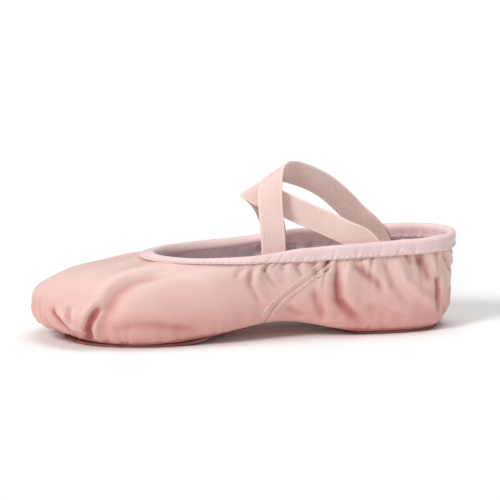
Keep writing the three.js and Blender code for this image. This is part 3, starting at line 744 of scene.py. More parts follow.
class MakeTopLine(bpy.types.Operator):
    """Make the binding round the opening, the elastic cord in it and its stitches"""

    bl_idname = "slipper.top_line"
    bl_label = "Bound top line"

    def execute(self, context):
        form = new_form()
        sizes = context.scene.slipper_sizes
        count, turns = 720, 56
        k, at, out, up, span = top_line_frames(form, count)
        section = np.pad(np.array(BINDING_SECTION), ((0, 0), (0, 1)))
        section = curve(section, np.arange(turns) / turns, closed=True)
        outward = section[None, :, 0] * np.ones((count, 1))
        upward = section[None, :, 1] * np.ones((count, 1))
        pitch = sizes.stitch * 1000 * 1.35
        whole = int(np.round(span[-1] / pitch))
        dent = 0.16 * (0.5 + 0.5 * np.cos(2 * np.pi * whole * np.arange(count) / count))[:, None]
        outward = outward - dent * bell(upward, -3.4, 0.8) * (outward > 0)
        each = [np.repeat(x[:, None], turns, 1) for x in (k, at, out, up)]
        girth = arc(np.concatenate([section, section[:1]]))
        # Painted shade for the hollows of the binding's gathers, strongest on its lower part.
        painted_light = np.repeat(top_puckers(form, k)[:, None], turns, 1) * smooth(-upward, 0, 4)
        binding = Piece()
        weave = np.stack(np.meshgrid(span, girth, indexing="ij"), -1)
        points = beside_top_line(form, *each, outward, upward)
        binding.grid(points, weave, painted_light, wrap_rows=True, wrap_cols=True)
        binding.make_bending("binding_tape", "binding_tape", "binding", "topline_binding")

        centre = beside_top_line(form, k, at, out, up, np.full(count, -0.9), np.full(count, 1.35))
        cord = Piece()
        cord.grid(centre[::2, None] + 0.9 * circle(out[::2], up[::2], 10), wrap_rows=True, wrap_cols=True)
        cord.make_bending("elastic_in_binding", "ribbed_elastic", "elastic", "topline_elastic")

        # Two rows of stitches, outside and inside: how many, where on the section, share of the pitch sewn.
        sewn = Piece()
        inner = int(whole * 0.86)
        for number, outward, upward, part in ((whole, 1.66, -3.4, 0.72), (inner, -3.36, -2.5, 0.62)):
            ends = np.arange(number * 2) / (number * 2) * count
            places = np.interp(ends, np.arange(count + 1), np.append(k, 8.0))
            at, out, up = form.frame(places, np.ones(number * 2))
            middle = beside_top_line(form, places, at, out, up, np.full(number * 2, outward),
                                     np.full(number * 2, upward))
            first, last = middle[0::2], middle[1::2]
            half = (np.roll(first, -1, 0) - first) * part / 2
            facing, slant = out[0::2] * np.sign(outward), up[0::2] * 0.22
            stitches(sewn, last - half - slant, last + half + slant, facing, sizes.thread * 500, 0.22)
        sewn.make_bending("binding_stitches", "sewing_thread", "thread", "topline_stitching")
        return {"FINISHED"}


# ---- Seams ----


def zigzag(piece, form, k, v, proud, radius, lift):
    """Stitches from place to place over the cloth, standing proud of it."""
    places = cloth_places(form, k, v)
    points = layer(places, -proud)
    stitches(piece, points[:-1], points[1:], places[1][:-1], radius, lift)


class MakeSeams(bpy.types.Operator):
    """Make the stitches of the side seams, the back seam's tack and the overcasting under the arch"""

    bl_idname = "slipper.seams"
    bl_label = "Seam stitches"

    def execute(self, context):
        form = new_form()
        thread = context.scene.slipper_sizes.thread * 500
        v = np.linspace(0.39, 0.91, 46)
        for name, side in (("left", 1), ("right", -1)):
            piece = Piece()
            for apart in (-2.6, 1.7):
                k = side * (seam_k(v) + (apart + in_turn(46)) / SIDE_SEAM_SCALE)
                zigzag(piece, form, k, v, thread * 0.4, thread * 1.05, 0.16)
            piece.make_bending(name + "_seam_zigzag", "seam_thread", "thread", name + "_seam_stitching")
        piece = Piece()
        zigzag(piece, form, 8 + in_turn(11) * 0.13, np.linspace(0.80, 0.885, 11), thread * 0.6, thread, 0.2)
        made = piece.make("back_seam_bar_tack", "sewing_thread", "thread")
        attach(made, "heel")
        piece = Piece()
        x = np.linspace(-30.0, 56.0, 30)
        middle = np.stack([x, 0 * x, form.cloth + form.arch(x) - 0.25], 1)
        across = np.array([0.5, 1.7, 0.0]) * in_turn(30, even=0.8, odd=1.0)[:, None]
        stitches(piece, middle - across, middle + across, DOWN * np.ones((30, 1)), thread, 0.3)
        piece.make_bending("arch_seam_overcasting", "sewing_thread", "thread")
        return {"FINISHED"}


# ---- Straps ----

# Free stations of the straps: shares of the span from their front ends to their back ones, of half the
# opening and of the rise over the instep, then the direction across. Both bend over one slanting crest.
STRAP_FRONT, STRAP_SPAN, STRAP_RISE, OVER_THROAT = 13, 52, 42, 3
# A sewn end runs from below the top line's edge to just above it, and the back ones are turned, in radians.
TAIL_DEPTH, ABOVE_EDGE, BACK_TURN = -10, 3.8, 0.85
CREST = (0.84, 0, 0.54)
TOP_STATIONS = [
    (-0.01, -0.72, 0.37, (1, 0, 0.05)), (-0.015, -0.54, 0.667, (0.95, 0, 0.25)), (0.01, -0.28, 0.895, CREST),
    (0.075, -0.02, 0.995, CREST), (0.21, 0.2, 0.975, (0.74, 0.05, 0.67)),
    (0.44, 0.38, 0.87, (0.52, 0.08, 0.86)), (0.66, 0.52, 0.71, (0.58, 0.08, 0.81)),
    (0.85, 0.615, 0.5, (0.64, 0.06, 0.76)), (1.01, 0.675, 0.285, (0.67, 0.02, 0.74)),
]
UNDER_STATIONS = [
    (0.09, 0.7, 0.285, (1, 0, 0.08)), (-0.01, 0.46, 0.535, (0.94, 0, 0.3)), (-0.127, 0.24, 0.705, CREST),
    (-0.18, 0.055, 0.768, CREST), (-0.088, -0.09, 0.71, (0.74, 0, 0.67)),
    (0.145, -0.28, 0.59, (0.5, 0, 0.86)), (0.52, -0.52, 0.385, (0.44, 0, 0.9)),
    (0.77, -0.68, 0.243, (0.53, 0, 0.85)),
]


def wall_at(form, x, v):
    """The k of the cloth at a given x and v, on the left side."""
    steps = np.linspace(0, 8, 1601)
    return np.interp(x, form.surface(steps, np.full(1601, v))[:, 0], steps)


def sewn_station(form, side, x, up, tilt, thickness):
    """A station of a strap sewn inside the top line at x, a distance up from its edge, turned by tilt."""
    upper_height, wall = 40.0, 4.2
    v = min(1.0, 1 + up / upper_height)
    k = side * wall_at(form, x, v)
    at, out, _ = (row[0] for row in form.frame(np.array([k]), np.array([v])))
    rise = unit(np.array([0, 0, 1.0]) - out * out[2])
    centre = at - out * (wall + thickness / 2) + rise * max(0.0, up)
    forward = side * np.cross(rise, out)
    return centre, np.cos(tilt) * forward + np.sin(tilt) * rise, -out


def strap_stations(form, sizes):
    """Centre, direction across and inward normal at each station of the two straps."""
    thick = sizes.strap_thickness * 1000

    def free(forth, side, rise, across):
        height = form.throat + OVER_THROAT + STRAP_RISE * rise
        place = np.array([STRAP_FRONT + STRAP_SPAN * forth, side * form.opening, height])
        return place, unit(np.array(across, float)), DOWN[0]

    def strap(side, front, free_rows, back, tail):
        """front, back and tail are how far along the slipper its front end, back end and last stitch lie."""
        sewn = [sewn_station(form, side, front, up, 0, thick) for up in (TAIL_DEPTH, ABOVE_EDGE)]
        ends = [sewn_station(form, -side, x, up, BACK_TURN, thick)
                for x, up in ((back, ABOVE_EDGE), (tail, TAIL_DEPTH))]
        return sewn + [free(*row) for row in free_rows] + ends

    top = strap(1, 13, TOP_STATIONS, 74, 83)
    under = strap(-1, 20, UNDER_STATIONS, 65, 74)
    return {"top_strap": top, "under_strap": under}


def ribbon(stations, sizes, rows=300, cols=52):
    """A strap: centre(t) + across(t) b width / 2 +- face(t) thickness(b) / 2.

    t runs along the stations and b from -1 to 1 across. Thickness is full but for rounded edges,
    (1 - |b|^14)^(1/2), with a fine rib every few threads and a thicker woven edge.
    """
    t = np.linspace(0, 1, rows)
    centres, across, _ = (np.array([s[i] for s in stations]) for i in range(3))
    middle = curve(centres, t)
    way = unit(curve(centres, np.minimum(1, t + 1e-4)) - curve(centres, np.maximum(0, t - 1e-4)))
    across = unit(curve(across, t, tension=0.5))
    face = np.cross(way, across)
    across = across / size_of(face)
    face = unit(face)
    half, thick = sizes.strap_width * 500, sizes.strap_thickness * 1000
    b = np.sin(np.linspace(-1, 1, cols) * np.pi / 2) * 0.35 + np.linspace(-1, 1, cols) * 0.65
    rib = 0.05 * np.sin(2 * np.pi * b * half / (sizes.rib * 1000)) * (np.abs(b) < 0.88)
    depth = thick / 2 * np.sqrt(np.maximum(0, 1 - np.abs(b) ** 14)) + rib
    depth += 0.05 * smooth(np.abs(b), 0.84, 0.9)
    depth[[0, -1]] = 0.02
    centre_line = middle[:, None] + across[:, None] * (b * half)[None, :, None]
    offset = face[:, None] * depth[None, :, None]
    weave = np.stack(np.meshgrid(arc(middle), b * half, indexing="ij"), -1)
    piece = Piece()
    piece.shell(centre_line + offset, centre_line - offset, weave, np.zeros((rows, cols)))
    return piece


def box_stitch(centre, across, way, facing, thread):
    """A sewn box with a cross in it, 8.4 by 5.6 mm: each line runs between two corners in a few stitches."""
    corner = [centre + across * a * 4.2 + way * b * 2.8 for a, b in ((-1, -1), (1, -1), (1, 1), (-1, 1))]
    box = Piece()
    for a, b, number in ((0, 1, 5), (1, 2, 3), (2, 3, 5), (3, 0, 3), (0, 2, 6), (1, 3, 6)):
        row = corner[a] + (corner[b] - corner[a]) * np.linspace(0, 1, number + 1)[:, None]
        gap = (row[1:] - row[:-1]) * 0.1
        stitches(box, row[:-1] + gap, row[1:] - gap, np.ones((number, 1)) * facing, thread, 0.2)
    return box


class MakeStraps(bpy.types.Operator):
    """Make the two crossed elastic straps and the box stitches that hold their ends"""

    bl_idname = "slipper.straps"
    bl_label = "Crossed straps"

    def execute(self, context):
        form = new_form()
        sizes = context.scene.slipper_sizes
        for name, stations in strap_stations(form, sizes).items():
            ribbon(stations, sizes).make_bending(name + "_ribbed_elastic", "ribbed_elastic", "elastic", name)
            for end, (tail, beyond) in (("front", stations[:2]), ("back", stations[:-3:-1])):
                place, across, inward = tail
                run = beyond[0] - place
                centre = place + run * 0.25 + inward * (sizes.strap_thickness * 500 + 0.25)
                box = box_stitch(centre, across, unit(run), inward, sizes.thread * 500)
                box.make_bending(f"{name}_{end}_box_stitch", "sewing_thread", "thread", f"{name}_{end}_tack")
        return {"FINISHED"}


# ---- Soles and pads ----

# Sections near a pad's edge, from under it to its top, as distance inside the outline and height over the
# sole line.
SOLE_SECTION = [
    (6.0, 0), (5.0, 0), (4.4, 0.03), (4.1, 0.3), (3.8, 0.8), (3.5, 1.0), (3.2, 0.8), (2.9, 0.3), (2.6, 0.03),
    (2.0, 0), (1.0, 0), (0.5, 0.03), (0.2, 0.15), (0.03, 0.45), (0, 0.85), (0.05, 1.25), (0.2, 1.48),
    (0.6, 1.6), (2, 1.6), (6, 1.6),
]
INSOLE_SECTION = [
    (12.2, 4.25), (10.2, 4.25), (8.8, 4.3), (8.35, 4.6), (8.2, 5.0), (8.35, 5.45), (8.7, 5.75), (9.4, 5.85),
    (10.2, 5.5), (10.7, 5.35), (11.2, 5.5), (12.2, 6.0),
]
FOAM_SECTION = [
    (3.3, 1.95), (2.1, 1.95), (1.65, 2.1), (1.5, 2.5), (1.5, 3.0), (1.7, 3.35), (2.3, 3.55), (3.3, 3.6),
]
# The channel sewn in a sole: its distance inside the outline, its stitches' height and their pitch.
CHANNEL_INSET, CHANNEL_HEIGHT, SOLE_PITCH = 3.5, 0.62, 3.6


def outline_rows(form, part):
    """Control points of a sole patch's outline: inside the sole line, and rounded across the foot."""
    front = part == "forefoot"
    ks = np.array([0, 0.5, 1, 1.5, 2, 2.5, 3, 3.5, 3.8] if front else [6.25, 6.6, 7, 7.4, 7.7, 8], float)
    way = form.along(form.feather, ks + 0.02) - form.along(form.feather, ks - 0.02)
    inward = unit(np.stack([way[:, 1], -way[:, 0], 0 * ks], 1))
    rows = (form.along(form.feather, ks) - 1.4 * inward) * [1, 1, 0]
    end = form.along(form.feather, np.array([4.1 if front else 5.95]))[0]
    closing = np.array([[end[0], 0.72 * end[1], 0], [end[0] + (9 if front else -9), 0, 0]])
    return both_halves(rows, closing, front)


def foam_rows(form, part):
    """Control points of the foam's outline: the hole inside the gathered margin."""
    front = part == "forefoot"
    rows = form.rim(np.array([0, 0.5, 1, 1.5, 2, 2.5] if front else [6.9, 7.3, 7.6, 8.0])) * [1, 1, 0]
    wide = form.rim(np.array([2.8 if front else 6.8]))[0, 1]
    end = -0.3 * form.half - 6 if front else 0.54 * form.half + 6
    before = [end - 8, wide, 0] if front else [end + 3, 0.7 * wide, 0]
    closing = np.array([before, [end, 0, 0]])
    return both_halves(rows, closing, front)


def both_halves(rows, closing, front):
    """The left half of an outline, closed across the foot behind or before it, and its mirror image."""
    rows = np.concatenate([rows, closing] if front else [closing[::-1], rows])
    return np.concatenate([rows, rows[-2:0:-1] * [1, -1, 1]])


def inside_outline(rows, t, inset):
    """A place on a closed outline, moved inwards; the outline runs anticlockwise seen from above."""
    at = curve(rows, t, closed=True)
    way = unit(curve(rows, t + 1e-4, closed=True) - curve(rows, t - 1e-4, closed=True))
    return at + np.stack([-way[:, 1], way[:, 0], 0 * t], 1) * inset


def pad(form, rows, section, top, steps, count):
    """A pad inside an outline, as a grid round it by its section.

    From the first and last places of the section the pad closes on a middle line in count steps,
    level underneath and at the height top above. Heights stand on the sole line.
    """
    spine_end = 14.0
    t = np.arange(steps) / steps
    edge = inside_outline(rows, t, section[0][0])
    low, high = edge[:, 0].min() + spine_end, edge[:, 0].max() - spine_end
    shares = np.linspace(0, 1, count, endpoint=False)

    def lifted(x, y, height):
        return np.stack([x, y, height + form.arch(x)], 1)

    def between(at, share, height):
        x = np.clip(at[:, 0], low, high) * (1 - share) + at[:, 0] * share
        return lifted(x, at[:, 1] * share, height)

    grid = [between(edge, share, section[0][1]) for share in shares]
    for inset, height in section:
        at = inside_outline(rows, t, inset)
        grid.append(lifted(at[:, 0], at[:, 1], height))
    grid += [between(at, share, top) for share in shares[::-1]]
    return np.stack(grid, 1)


def add_pad(points, name, look, slot, rides, node):
    """Makes a pad's grid into a closed object that rides on a body and stands for a node."""
    flat = np.concatenate([points, points[:1]])
    flat = np.concatenate([flat, flat[:, -1:]], 1)
    piece = Piece()
    piece.grid(points, flat[..., :2], wrap_rows=True)
    made = piece.make(name, look, slot, merge=1e-5)
    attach(made, rides)
    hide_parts(node)
    return made


# ---- Materials ----


class Value:
    """A number that varies over a surface. Arithmetic on it adds Math nodes to its material."""

    def __init__(self, look, socket):
        self.look, self.socket = look, socket

    def maths(self, operation, *inputs):
        made = self.look.node("ShaderNodeMath", {"operation": operation}, dict(enumerate(inputs)))
        return Value(self.look, made.outputs[0])

    def __add__(self, other):
        return self.maths("ADD", self, other)

    __radd__ = __add__

    def __mul__(self, other):
        return self.maths("MULTIPLY", self, other)

    __rmul__ = __mul__

    def __sub__(self, other):
        return self.maths("SUBTRACT", self, other)

    def __rsub__(self, other):
        return self.maths("SUBTRACT", other, self)

    def __truediv__(self, other):
        return self.maths("DIVIDE", self, other)

    def __pow__(self, other):
        return self.maths("POWER", self, other)

    def sin(self):
        return self.maths("SINE", self)

    def size(self):
        return self.maths("ABSOLUTE", self)

    def between(self, low, high):
        """0 where the number is below low, 1 above high, and smooth between."""
        made = self.look.node("ShaderNodeMapRange", {"interpolation_type": "SMOOTHSTEP"},
                              {"Value": self, "From Min": low, "From Max": high})
        return Value(self.look, made.outputs[0])


class Look:
    """A material under construction, with one method that makes every node."""

    def __init__(self, name, **finish):
        """finish holds the shader's numbers that are the same all over the surface."""
        self.material = bpy.data.materials.new(name)
        self.material.use_nodes = True
        self.tree = self.material.node_tree
        self.tree.nodes.clear()
        self.shader = self.node("ShaderNodeBsdfPrincipled", {}, {spaced(key): x for key, x in finish.items()})
        self.node("ShaderNodeOutputMaterial", {}, {"Surface": self.shader.outputs[0]})
        place = self.node("ShaderNodeTexCoord")
        self.place, self.weave = place.outputs["Object"], place.outputs["UV"]
        parts = self.node("ShaderNodeSeparateXYZ", {}, {0: self.weave})
        self.along, self.across = Value(self, parts.outputs[0]), Value(self, parts.outputs[1])
        # This attribute holds the painted shade, below 0, and painted highlight, above 0, in millimetres;
        # valley is the painted shade.
        self.painted_light = Value(self, self.node("ShaderNodeAttribute", {"attribute_name": "painted_light"}).outputs["Fac"])
        self.valley = self.painted_light * -1.0

    def node(self, kind, settings=None, inputs=None):
        """Adds a node. An input is a number, a colour, a Value or the output of another node."""
        made = self.tree.nodes.new(kind)
        for key, value in (settings or {}).items():
            setattr(made, key, value)
        for key, value in (inputs or {}).items():
            if isinstance(value, Value):
                value = value.socket
            if isinstance(value, bpy.types.NodeSocket):
                self.tree.links.new(value, made.inputs[key])
            else:
                made.inputs[key].default_value = value
        return made

    def height(self):
        """Metres over the floor."""
        return Value(self, self.node("ShaderNodeSeparateXYZ", {}, {0: self.place}).outputs[2])

    def noise(self, scale, detail=3.0, rough=0.5, on=None, stretch=None):
        """Soft noise, 0 to 1, per metre of the object or per millimetre of the weave."""
        vector = on or self.place
        if stretch:
            vector = self.node("ShaderNodeMapping", {}, {"Vector": vector, "Scale": stretch}).outputs[0]
        inputs = {"Vector": vector, "Scale": scale, "Detail": detail, "Roughness": rough}
        return Value(self, self.node("ShaderNodeTexNoise", {}, inputs).outputs[0])

    def slubs(self, along, across, detail=3.0):
        """Uneven threads: noise on the weave, with so many grains per millimetre along and across it."""
        return self.noise(1.0, detail, 0.6, on=self.weave, stretch=(along, across, 1.0))

    def pores(self, scale):
        """Distance from the nearest of many scattered points, so many per metre."""
        made = self.node("ShaderNodeTexVoronoi", {}, {"Vector": self.place, "Scale": scale})
        return Value(self, made.outputs[0])

    def mix(self, share, first, second):
        """A colour between two colours."""
        return self.node("ShaderNodeMix", {"data_type": "RGBA"}, {0: share, 6: first, 7: second}).outputs[2]

    def clouds(self, noise, low, high, rgb, dark, light):
        """A colour that drifts between two shades of one colour; each shade is given as shade() takes it."""
        return self.mix(noise.between(low, high), shade(rgb, *dark), shade(rgb, *light))

    def bump(self, height, strength, distance, under=None):
        """A normal that follows a height, over another normal if there is one."""
        inputs = {"Height": height, "Strength": strength, "Distance": distance}
        if under is not None:
            inputs["Normal"] = under
        return self.node("ShaderNodeBump", {}, inputs).outputs[0]

    def finish(self, **inputs):
        """Links the shader's varying inputs."""
        for name, value in inputs.items():
            socket = value.socket if isinstance(value, Value) else value
            self.tree.links.new(socket, self.shader.inputs[spaced(name)])
        return self.material


def spaced(name):
    """The shader's own name of an input."""
    return name.replace("_", " ")


def shade(rgb, by, warm=0.0):
    """A colour made lighter or darker, as four numbers; warm lowers its green and blue."""
    r, g, b = rgb
    return (min(1.0, r * by), min(1.0, g * by * (1 - warm)), min(1.0, b * by * (1 - warm)), 1.0)


def turns(value, period):
    """A distance in millimetres as an angle that comes round once in each period."""
    return value * (2 * np.pi / period)


def threads(angle):
    """Threads side by side: a wave from 0 to 1."""
    return angle.sin() * 0.5 + 0.5


def satin_look(colours):
    """Satin: fine floats along the weave, slubs, painted highlight higher up and on ridges, painted shade low
    down and in its folds.
    """
    look = Look("creased_satin", Specular_IOR_Level=0.6, Sheen_Weight=0.3, Sheen_Roughness=0.45,
                Sheen_Tint=(1.0, 0.96, 0.95, 1.0), IOR=1.45)
    cloud = look.noise(26.0, 4.0, 0.55)
    slub, fleck = look.slubs(0.12, 1.7), look.slubs(2.2, 0.5, detail=2.0)
    floats = threads(turns(look.across, 0.42))
    ties = threads(turns(look.along, 1.26) + turns(look.across, 0.84))
    # valley marks where painted shade goes, ridge where painted highlight goes.
    valley, ridge = look.valley.between(0.15, 2.9), look.painted_light.between(0.05, 1.6)
    tone = look.clouds(cloud, 0.3, 0.75, colours.satin, (0.955, 0.02), (1.04,))
    tone = look.mix(slub.between(0.35, 0.8) * 0.35, tone, shade(colours.satin, 1.1))
    # Painted highlight: paler higher up, where the overhead light falls, and on the ridges of the creases.
    tone = look.mix(look.height().between(0.014, 0.042) * 0.42, tone, shade(colours.satin_painted_highlight, 1.0))
    tone = look.mix(ridge * 0.5, tone, shade(colours.satin_painted_highlight, 1.05))
    # Painted shade: deeper pink low on the sides and in the valleys of the creases.
    low = 1 - look.height().between(0.004, 0.038)
    tone = look.mix(low * 0.33, tone, shade(colours.satin_painted_shade, 1.3))
    tone = look.mix(valley * 0.85, tone, shade(colours.satin_painted_shade, 1.0))
    rough = 0.40 + 0.16 * cloud + 0.10 * (1 - slub) + 0.12 * valley - 0.05 * ridge
    weave = look.bump(floats * 0.5 + ties * 0.3 + fleck * 0.5 + slub * 0.7, 0.22, 0.00022)
    soft = look.bump(look.noise(160.0, 3.0, 0.55), 0.10, 0.0008, under=weave)
    return look.finish(Base_Color=tone, Roughness=rough, Normal=soft)


def binding_look(colours):
    """Binding tape: fine slanting ribs, with painted shade in the hollows of its gathers."""
    look = Look("binding_tape", Specular_IOR_Level=0.35, Sheen_Weight=0.12, Sheen_Roughness=0.4)
    cloud, grain = look.noise(40.0), look.slubs(1.6, 1.6)
    slant = threads(turns(look.along, 0.62) + turns(look.across, 0.7))
    tone = look.clouds(cloud, 0.3, 0.75, colours.binding, (0.96, 0.02), (1.04,))
    tone = look.mix(slant * 0.16, tone, shade(colours.binding, 0.86, 0.06))
    # Painted shade in the hollows where the binding is gathered.
    tone = look.mix(look.valley.between(0.02, 0.8) * 0.6, tone, shade(colours.satin_painted_shade, 1.15))
    normal = look.bump(slant * 0.7 + grain * 0.5, 0.3, 0.00025)
    return look.finish(Base_Color=tone, Roughness=0.58 + 0.14 * cloud + 0.08 * grain, Normal=normal)


def cotton_look(colours):
    """Plain cotton: threads over and under, a little uneven, rubbed flat and greyer where the foot goes, with
    painted shade in its creases.
    """
    look = Look("woven_cotton", Specular_IOR_Level=0.2, Sheen_Weight=0.15, Sheen_Roughness=0.6)
    check = turns(look.along, 0.62).sin() * turns(look.across, 0.62).sin() * 0.5 + 0.5
    cloud, rub, slub = look.noise(55.0, 4.0), look.noise(18.0), look.slubs(0.25, 1.6)
    tone = look.clouds(cloud, 0.3, 0.7, colours.cotton, (0.93,), (1.05,))
    tone = look.mix(check * 0.22, tone, shade(colours.cotton, 1.25))
    tone = look.mix(rub.between(0.5, 0.8) * 0.35, tone, shade(colours.cotton, 0.82, 0.03))
    # Painted shade in the creases of the lining.
    tone = look.mix(look.valley.between(0.05, 1.6) * 0.4, tone, shade(colours.cotton, 0.72, 0.05))
    normal = look.bump(check * 0.8 + slub * 0.6, 0.4, 0.0003)
    return look.finish(Base_Color=tone, Roughness=0.84 + 0.1 * cloud, Normal=normal)


def elastic_look(colours, sizes):
    """Ribbed elastic: lengthwise ribs, herringbone picks between them and a paler woven edge."""
    look = Look("ribbed_elastic", Specular_IOR_Level=0.3, Sheen_Weight=0.1, Sheen_Roughness=0.45)
    rib, half = sizes.rib * 1000, sizes.strap_width * 500
    rows = turns(look.across, rib).sin()
    lean = turns(look.across, 2 * rib).sin().between(-0.15, 0.15) * 2 - 1
    pick = threads(turns(look.along, 0.95) + turns(lean * look.across, 1.3))
    edge = look.across.size().between(half - 1.5, half - 0.9)
    cloud, grain = look.noise(50.0), look.slubs(1.3, 1.3)
    tone = look.clouds(rows, -0.7, 0.6, colours.elastic, (0.92, 0.03), (1.05,))
    tone = look.mix(pick * 0.2 * (1 - edge), tone, shade(colours.elastic, 0.80, 0.05))
    tone = look.mix(cloud.between(0.35, 0.75) * 0.3, tone, shade(colours.elastic, 1.12))
    tone = look.mix(edge * 0.55, tone, shade(colours.elastic, 1.14))
    normal = look.bump(rows * 0.35 * (1 - edge) + pick * 0.35 + grain * 0.4, 0.35, 0.0003)
    return look.finish(Base_Color=tone, Roughness=0.68 + 0.12 * cloud + 0.06 * grain, Normal=normal)


def suede_look(colours):
    """Suede: a short nap brushed into patches, darker and polished where the foot turns."""
    look = Look("brushed_suede", Specular_IOR_Level=0.12, Sheen_Weight=0.45, Sheen_Roughness=0.6,
                Sheen_Tint=shade(colours.suede, 1.6))
    nap = look.noise(2600.0, 3.0, 0.7)
    brushed = look.noise(70.0, 5.0, 0.6, stretch=(1.0, 0.45, 1.0))
    pore, wear = look.pores(900.0), look.noise(22.0)
    tone = look.clouds(brushed, 0.35, 0.68, colours.suede, (0.85, 0.03), (1.2,))
    tone = look.mix(nap.between(0.45, 0.75) * 0.5, tone, shade(colours.suede, 1.45))
    tone = look.mix(pore.between(0.0, 0.25) * -0.25 + 0.25, tone, shade(colours.suede, 0.6))
    tone = look.mix(wear.between(0.52, 0.75) * 0.4, tone, shade(colours.suede, 0.7, 0.05))
    rough = 0.88 + 0.1 * brushed - 0.12 * wear.between(0.55, 0.8)
    normal = look.bump(nap * 0.6 + brushed * 0.6 + pore * 0.3, 0.6, 0.0006)
    return look.finish(Base_Color=tone, Roughness=rough, Normal=normal)


def foam_look(colours):
    """Latex foam: open pores, yellower in patches."""
    look = Look("latex_foam", Specular_IOR_Level=0.2)
    pore, cloud = look.pores(1400.0), look.noise(60.0)
    tone = look.clouds(cloud, 0.3, 0.7, colours.foam, (0.92, 0.05), (1.05,))
    tone = look.mix(pore.between(0.1, 0.5) * -0.5 + 0.5, tone, shade(colours.foam, 0.7))
    return look.finish(Base_Color=tone, Roughness=0.9 + 0.08 * cloud, Normal=look.bump(pore, 0.5, 0.0004))


def thread_look(name, thread):
    """Sewing thread: two plies twisted round each other."""
    look = Look(name, Specular_IOR_Level=0.45, Sheen_Weight=0.2, Sheen_Roughness=0.4)
    ply = threads(turns(look.along, 0.7) + turns(look.across, 0.9))
    cloud = look.noise(300.0, 2.0)
    tone = look.mix(ply, shade(thread, 0.86, 0.04), shade(thread, 1.05))
    tone = look.mix(cloud.between(0.4, 0.8) * 0.4, tone, shade(thread, 0.9, 0.03))
    return look.finish(Base_Color=tone, Roughness=0.5 + 0.2 * cloud, Normal=look.bump(ply, 0.5, 0.0001))


def floor_look(colours):
    """A pale painted floor with the faintest unevenness."""
    look = Look("studio_floor", Specular_IOR_Level=0.1)
    cloud = look.noise(3.0, 2.0)
    tone = look.mix(cloud, shade(colours.floor, 0.995), shade(colours.floor, 1.0))
    return look.finish(Base_Color=tone, Roughness=0.85 + 0.05 * cloud)


def look_named(name):
    """The material of that name, made the first time that it is asked for."""
    if name in bpy.data.materials:
        return bpy.data.materials[name]
    colours, sizes = bpy.context.scene.slipper_colours, bpy.context.scene.slipper_sizes
    makers = {
        "creased_satin": (satin_look, colours), "binding_tape": (binding_look, colours),
        "woven_cotton": (cotton_look, colours), "ribbed_elastic": (elastic_look, colours, sizes),
        "brushed_suede": (suede_look, colours), "latex_foam": (foam_look, colours),
        "sewing_thread": (thread_look, name, colours.thread),
        "seam_thread": (thread_look, name, colours.seam_thread),
        "studio_floor": (floor_look, colours),
    }
    maker, *given = makers[name]
    return maker(*given)


def points_of(mesh):
    """The places of a mesh's points, as rows of three."""
    places = np.empty(len(mesh.vertices) * 3, np.float32)
    mesh.vertices.foreach_get("co", places)
    return places.reshape(-1, 3)


def set_points(mesh, places):
    """Moves a mesh's points to new places."""
    mesh.vertices.foreach_set("co", places.astype(np.float32).ravel())
    mesh.update()


def plump(made, steps, cap, pressure=4.0):
    """Blows a pad up with the cloth simulation and applies it, each point within cap of where it was."""
    scene = bpy.context.scene
    rest = points_of(made.data)
    cloth = made.modifiers.new("stuffing", "CLOTH")
    cloth.settings.use_pressure = True
    cloth.settings.uniform_pressure_force = pressure
    cloth.settings.effector_weights.gravity = 0.0
    cloth.settings.tension_stiffness = 30.0
    cloth.settings.compression_stiffness = 30.0
    cloth.settings.bending_stiffness = 2.0
    cloth.point_cache.frame_start, cloth.point_cache.frame_end = 1, steps
    for step in range(1, steps + 1):
        scene.frame_set(step)
    places = points_of(made.evaluated_get(bpy.context.evaluated_depsgraph_get()).data)
    made.modifiers.remove(cloth)
    scene.frame_set(1)
    move = places - rest
    if not np.isfinite(move).all():
        raise RuntimeError(made.name + " came apart in the simulation")
    set_points(made.data, rest + move * np.minimum(1.0, cap / np.maximum(size_of(move), 1e-9)))


def puffs(made, form, height, above=0.0052):
    """Lets a pad's cover rise and dip a little between threads: its upper points move by soft waves."""
    places = points_of(made.data)
    wave = ripple(places.astype(float) * 1000, 13.0, 51)
    lifted = places[:, 2] > above + form.arch(places[:, 0] * 1000) * MM
    places[:, 2] += (height * MM * wave * lifted).astype(np.float32)
    set_points(made.data, places)


class MakeSoles(bpy.types.Operator):
    """Make the two suede sole patches and the stitches sunk in their channels"""

    bl_idname = "slipper.soles"
    bl_label = "Suede soles"

    def execute(self, context):
        form = new_form()
        thread = context.scene.slipper_sizes.thread * 500
        for part in ("forefoot", "heel"):
            rows = outline_rows(form, part)
            points = pad(form, rows, SOLE_SECTION, top=1.6, steps=200, count=14)
            add_pad(points, part + "_suede_sole", "brushed_suede", "suede", part, part + "_sole_patch")
            girth = arc(inside_outline(rows, np.linspace(0, 1, 400), CHANNEL_INSET))[-1]
            number = int(girth / SOLE_PITCH)
            at = inside_outline(rows, np.arange(number * 2) / (number * 2), CHANNEL_INSET)
            at[:, 2] = CHANNEL_HEIGHT + form.arch(at[:, 0])
            first, middle = at[0::2], at[1::2]
            half = (np.roll(first, -1, 0) - first) * 0.36
            sewn = Piece()
            stitches(sewn, middle - half, middle + half, DOWN * np.ones((number, 1)), thread, 0.15)
            made = sewn.make(part + "_sole_stitches", "sewing_thread", "thread")
            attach(made, part)
            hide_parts(part + "_sole_stitching")
        return {"FINISHED"}


